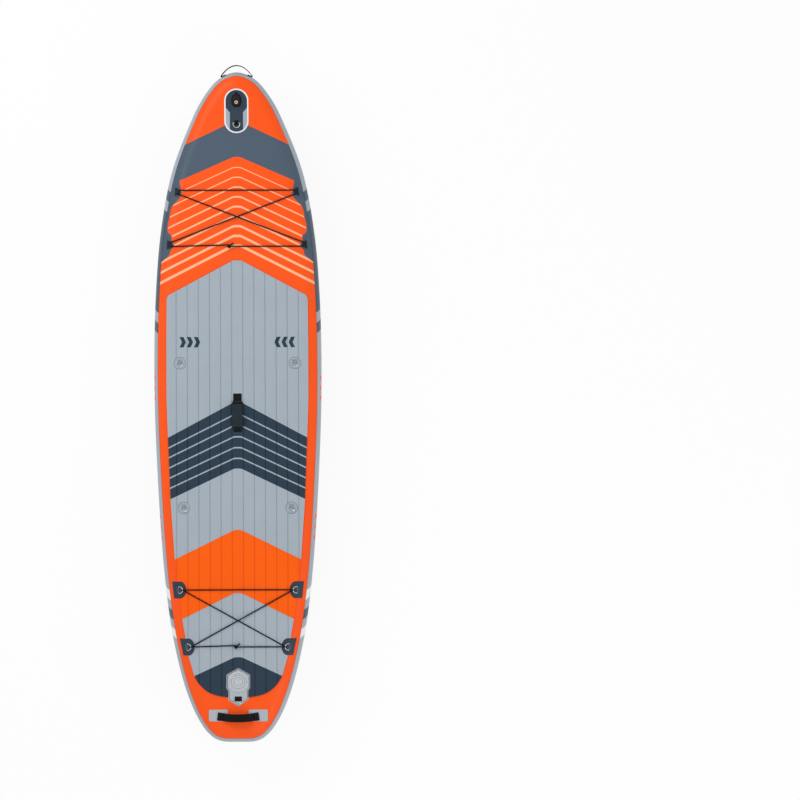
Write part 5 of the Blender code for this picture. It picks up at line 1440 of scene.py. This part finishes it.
def make_valve_body(looks, place, seat, recess, top):
    """Scalloped flange and barrel in one, a cross below that guides the plunger, and two screw heads."""
    room = VALVE_CAP_RADIUS + GAP

    def scallop(angle, radius):
        return 0.0016 * math.cos(12 * angle) * min(1.0, max(0.0, (radius - room - 0.0085) / 0.004))

    profile = [
        (0.0225, seat), (0.0494, seat), (0.0495, seat + 0.0002), (0.0495, top - 0.0024),
        (0.0490, top - 0.0016), (0.0478, top - 0.0009), (0.0462, top - 0.0004), (0.0440, top - 0.0001),
        (0.0405, top - 0.0001), (0.0400, top - 0.0005), (0.0392, top - 0.0005), (0.0387, top),
        (room + 0.0010, top), (room + 0.0003, top - 0.0003), (room, top - 0.0010), (room, recess),
        (0.0185, recess), (0.0185, -0.030), (0.0225, -0.030),
    ]
    body = Shape().loft(lathe(profile, 144, scallop), closed=True)
    floor, arm, half = -0.024, 0.020, 0.0015
    body.loft(block(-arm, arm, -half, half, floor, floor + 0.003))
    body.loft(block(-half, half, -arm, arm, floor - 0.0002, floor + 0.0031))
    low, high, wide = floor - 0.0005, floor + 0.0034, 0.0055
    guide = [(PLUNGER_BORE, low), (wide, low), (wide, high), (PLUNGER_BORE, high)]
    body.loft(lathe(guide, 32), closed=True).moved(place)
    body.piece("valve_housing", looks["valve"], "moulded_grey", "valve_body", smooth=30)
    head = [(0.0021, top - 0.0010), (0.0021, top - 0.0001), (0.0018, top + 0.0002), (0.0011, top + 0.0003)]
    head += [(0.0010, top + 0.0002), (0.0009, top - 0.0006)]
    for side, sign in SIDES:
        screw = Shape().loft(turned(head, 24)).moved(place @ Matrix.Translation((0, sign * 0.0425, 0)))
        screw.piece(f"valve_screw_{side}", looks["dark_metal"], "moulded_grey")


def make_valve_spring(looks, place):
    """The spring under the plunger's head, which pressing the plunger shortens."""
    low, high, radius, wire, coils = -0.0199, -0.0127, 0.0046, 0.0004, 3.5
    turn = np.linspace(0, math.tau * coils, int(coils * 28))
    rising = low + (high - low) * turn / turn[-1]
    coil = np.column_stack([radius * np.cos(turn), radius * np.sin(turn), rising])
    spring = Shape().loft(tube(coil, wire, 8)).moved(place)
    obj = spring.piece("valve_spring_wire", looks["steel"], "stainless_steel", "valve_spring", smooth=0)
    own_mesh(obj)


def make_valve_cap(looks, place, recess, top):
    """Round cap in the flange's recess, with a ring groove and two finger grips."""
    skirt, hollow = 0.0179, 0.0179 - 0.0025
    profile = [(hollow, recess - 0.0060), (skirt, recess - 0.0060), (skirt, recess + GAP)]
    profile += [(VALVE_CAP_RADIUS, recess + GAP)]
    # How far in from the rim, and how high above the flange's face
    face = (
        (0.0, -0.0010), (0.0003, -0.0004), (0.0010, -0.0001), (0.0016, 0.0), (0.0078, 0.0),
        (0.0084, -0.0002), (0.0092, -0.0008), (0.0098, -0.0010), (0.0122, -0.0010), (0.0128, -0.0008),
        (0.0137, 0.0), (0.0142, 0.0002),
    )
    profile += [(VALVE_CAP_RADIUS - inward, top + up) for inward, up in face]
    profile += [(0.0005, top + 0.0002), (0.0005, recess - 0.0006), (hollow, recess - 0.0006)]
    cap = Shape().loft(lathe(profile, 96), closed=True)
    cap.loft(turned(((0.0006, recess - 0.0003), (0.0006, top + 0.00015)), 12)).moved(place)
    look, slot = looks["valve"], "moulded_grey"
    obj = cap.piece("valve_cap_moulding", look, slot, "valve_cap", body="valve_cap", smooth=25)
    dip = ((1.06, 0.002), (1.06, 0.0003), (1.0, -0.0003), (0.94, -0.0015), (0.84, -0.0021), (0.6, -0.0023))
    for sign in (1, -1):
        center = (sign * 0.0085, 0)
        loops = [at_height(oval(center, 0.009 * k, 0.024 * k, 48, 2.2), top + up) for k, up in dip]
        carve(obj, Shape().loft(loops).moved(place), 30)


# Fins


def make_blade(length, table):
    """Foiled blade and the keyed foot that slides in the box."""
    lift, thick = 3 * GAP + PATCH_SHEET, 0.0026
    shown = BOX_HEIGHT + GAP + 0.0003
    front = length / 2 - 0.011
    stop = front - (table[0][2] - table[0][1]) - 0.004
    # Half thickness of a usual symmetric foil along its chord
    t = (1 - np.cos(np.linspace(0, math.pi, 17))) / 2
    foil = 2.969 * np.sqrt(t) - 1.260 * t - 3.516 * t**2 + 2.843 * t**3 - 1.036 * t**4
    curve = through([(max(depth - lift, 0.0), lead, trail) for depth, lead, trail in table], 6)
    tip = curve[-1, 0]
    loops = []
    for depth, lead, trail in curve:
        chord = trail - lead
        round_off = math.sqrt(max(0.0, 1 - max(0.0, 1 - (tip - depth) / 0.004) ** 2)) * 0.85 + 0.15
        half = thick * min(1.0, 0.35 + chord / 0.12) * round_off
        z = max(depth, shown - 0.0006)
        right = [(front - (lead + chord * at), half * h + 0.00015, z) for at, h in zip(t, foil)]
        loops.append(right + [(x, -y, z) for x, y, z in right[::-1]])
    neck, keel = 0.0062 / 2 - GAP, 0.0140 / 2 - GAP
    low, high, up_to = BOX_HEIGHT - 0.0090 + GAP, BOX_HEIGHT - 0.0035 - GAP, shown + 0.0012
    profile = [(-keel, low), (keel, low), (keel, high), (neck, high)]
    profile += [(neck, up_to), (-neck, up_to), (-neck, high), (-keel, high)]
    foot = [[(x, a, b) for a, b in profile] for x in (stop, front - 0.002)]
    return Shape().loft(loops).loft(foot)


def make_fin(name, s, y, length, table, size, look, slot, looks):
    """Patch and blade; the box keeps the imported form, its edges softened."""
    outline = rounded_box((s, y), *size, 14)
    sheet_piece(f"{name}_fin_base_sheet", outline, look, slot, f"{name}_fin_patch", side=-1, pitch=0.02)
    box = copy_node(f"{name}_fin_box", f"{name}_fin_box_moulding", looks["black"])
    soften(box, 0.0007, 3, 28)
    blade = make_blade(length, table).moved(frame_at(s, y, 3 * GAP + PATCH_SHEET, side=-1))
    blade.piece(f"{name}_fin_blade", looks["fin"], "fin_black", f"{name}_fin", body=f"{name}_fin", smooth=32)


def make_fins(looks):
    pale, dark = looks["pale_patch"], looks["dark_patch"]
    base = (0.306, 0.175, 0.085)
    make_fin("center", 2.8575, 0.0, 0.199, CENTER_FIN, base, pale, "patch_light_grey", looks)
    base = (0.197, 0.088, 0.018)
    for side, sign in SIDES:
        make_fin(side, 2.4905, sign * 0.185, 0.163, SIDE_FIN, base, dark, "patch_slate", looks)


def dress_nodes(looks):
    """Looks for the nodes that stay in view or inside as they are packed."""
    for node, look in (
        ("drop_stitch_core", looks["core"]),
        ("valve_nut", looks["grey_moulding"]),
        ("valve_plunger", looks["grey_moulding"]),
        ("valve_diaphragm", looks["rubber"]),
    ):
        NODES[node].data.materials.clear()
        NODES[node].data.materials.append(look)


# Stage


def studio_share(tree, low, high):
    """High where the camera or a mirror looks, low where the surface only lights others."""
    path = tree.nodes.new("ShaderNodeLightPath")
    rays = ("Is Camera Ray", "Is Glossy Ray", "Is Transmission Ray")
    camera, mirror, glass = (Value(tree, path.outputs[name]) for name in rays)
    return camera.high(mirror).high(glass) * (high - low) + low


def floor_look():
    look = Look("pale_floor", (0.93, 0.93, 0.93), 0.9)
    emit = look.tree.nodes.new("ShaderNodeEmission")
    mix = look.tree.nodes.new("ShaderNodeMixShader")
    share = studio_share(look.tree, 0.0, 0.90)
    look.tree.links.new(share.socket, mix.inputs[0])
    look.tree.links.new(look.shader.outputs[0], mix.inputs[1])
    look.tree.links.new(emit.outputs[0], mix.inputs[2])
    look.tree.links.new(mix.outputs[0], look.tree.nodes["Material Output"].inputs[0])
    return look.done()


def add_area(name, place, size, power):
    light = bpy.data.lights.new(name, "AREA")
    light.shape = "DISK"
    light.size = size
    light.energy = power
    holder = add_object(name, light)
    holder.location = place
    holder.rotation_euler = (Vector((0, 0, 0.3)) - Vector(place)).to_track_quat("-Z", "Y").to_euler()


def make_stage():
    scene = bpy.context.scene
    scene.view_settings.view_transform = "Standard"
    world = bpy.data.worlds.new("studio")
    scene.world = world
    world.use_nodes = True
    background = world.node_tree.nodes["Background"]
    background.inputs["Color"].default_value = (1, 1, 1, 1)
    strength = studio_share(world.node_tree, 0.72, 1.0)
    world.node_tree.links.new(strength.socket, background.inputs["Strength"])
    mesh = bpy.data.meshes.new("floor")
    mesh.from_pydata([(-14, -14, 0), (14, -14, 0), (14, 14, 0), (-14, 14, 0)], [], [(0, 1, 2, 3)])
    mesh.materials.append(floor_look())
    floor = add_object("floor", mesh)
    add_area("key", (2.6, 2.4, 4.2), 3.0, 72)
    add_area("fill", (-3.2, -2.6, 3.6), 3.5, 40)


def make_camera():
    """Straight down on the deck, as the photograph's left-hand view, at its scale and place."""
    scale, away = 0.0047735, 22.0
    nose_row, middle_column, half_frame = 71.9, 237.5, 400
    camera = bpy.data.cameras.new("camera")
    camera.sensor_width = 36.0
    camera.lens = 36.0 * away / (2 * half_frame * scale)
    camera.clip_end = 100.0
    holder = add_object("camera", camera)
    aft, port = (half_frame - nose_row) * scale, (half_frame - middle_column) * scale
    holder.location = (NOSE_X - aft, -port, MID_Z + HALF + away)
    holder.rotation_euler = (0, 0, math.radians(-90.0 + CAMERA_ROLL))
    bpy.context.scene.camera = holder


def main():
    looks = {
        "webbing": webbing_look(),
        "grey_webbing": webbing_look("pale_webbing_weave", linear(150, 161, 171)),
        "slate_webbing": webbing_look("slate_webbing_weave", linear(84, 96, 107)),
        "thread": thread_look("dark_thread", linear(44, 44, 47)),
        "grey_thread": thread_look("pale_thread", linear(176, 184, 190)),
        "cord": cord_look(),
        "neoprene": neoprene_look(),
        "binding": webbing_look("binding_tape", BLACK, 0.0010, 0.0016),
        "steel": steel_look(),
        "dark_metal": moulded_look("dark_metal", linear(60, 62, 66), 0.35),
        "brass": brass_look(),
        "black": moulded_look("black_moulding", linear(15, 15, 17), 0.40, specular=0.22),
        "grey_moulding": moulded_look("grey_moulding", linear(176, 183, 190), 0.40, 0.12),
        "valve": valve_look(),
        "rubber": moulded_look("seal_rubber", linear(24, 24, 24), 0.7),
        "fin": fin_look(),
        "seat_patch": patch_look("seat_patch_coat", PAD_GREY),
        "pale_patch": patch_look("pale_patch_coat", linear(172, 181, 188)),
        "dark_patch": patch_look("dark_patch_coat", PATCH_SLATE),
        "core": moulded_look("stitch_threads", linear(225, 222, 212), 0.9),
    }
    make_hull()
    make_pads()
    make_nose(looks)
    make_anchors(looks)
    make_front_bungee(looks)
    make_seat_rings(looks)
    make_carry_handle(looks)
    make_rear_rings(looks)
    make_rear_bungee(looks)
    make_valve(looks)
    make_tail_handle(looks)
    make_fins(looks)
    dress_nodes(looks)
    make_stage()
    make_camera()


main()
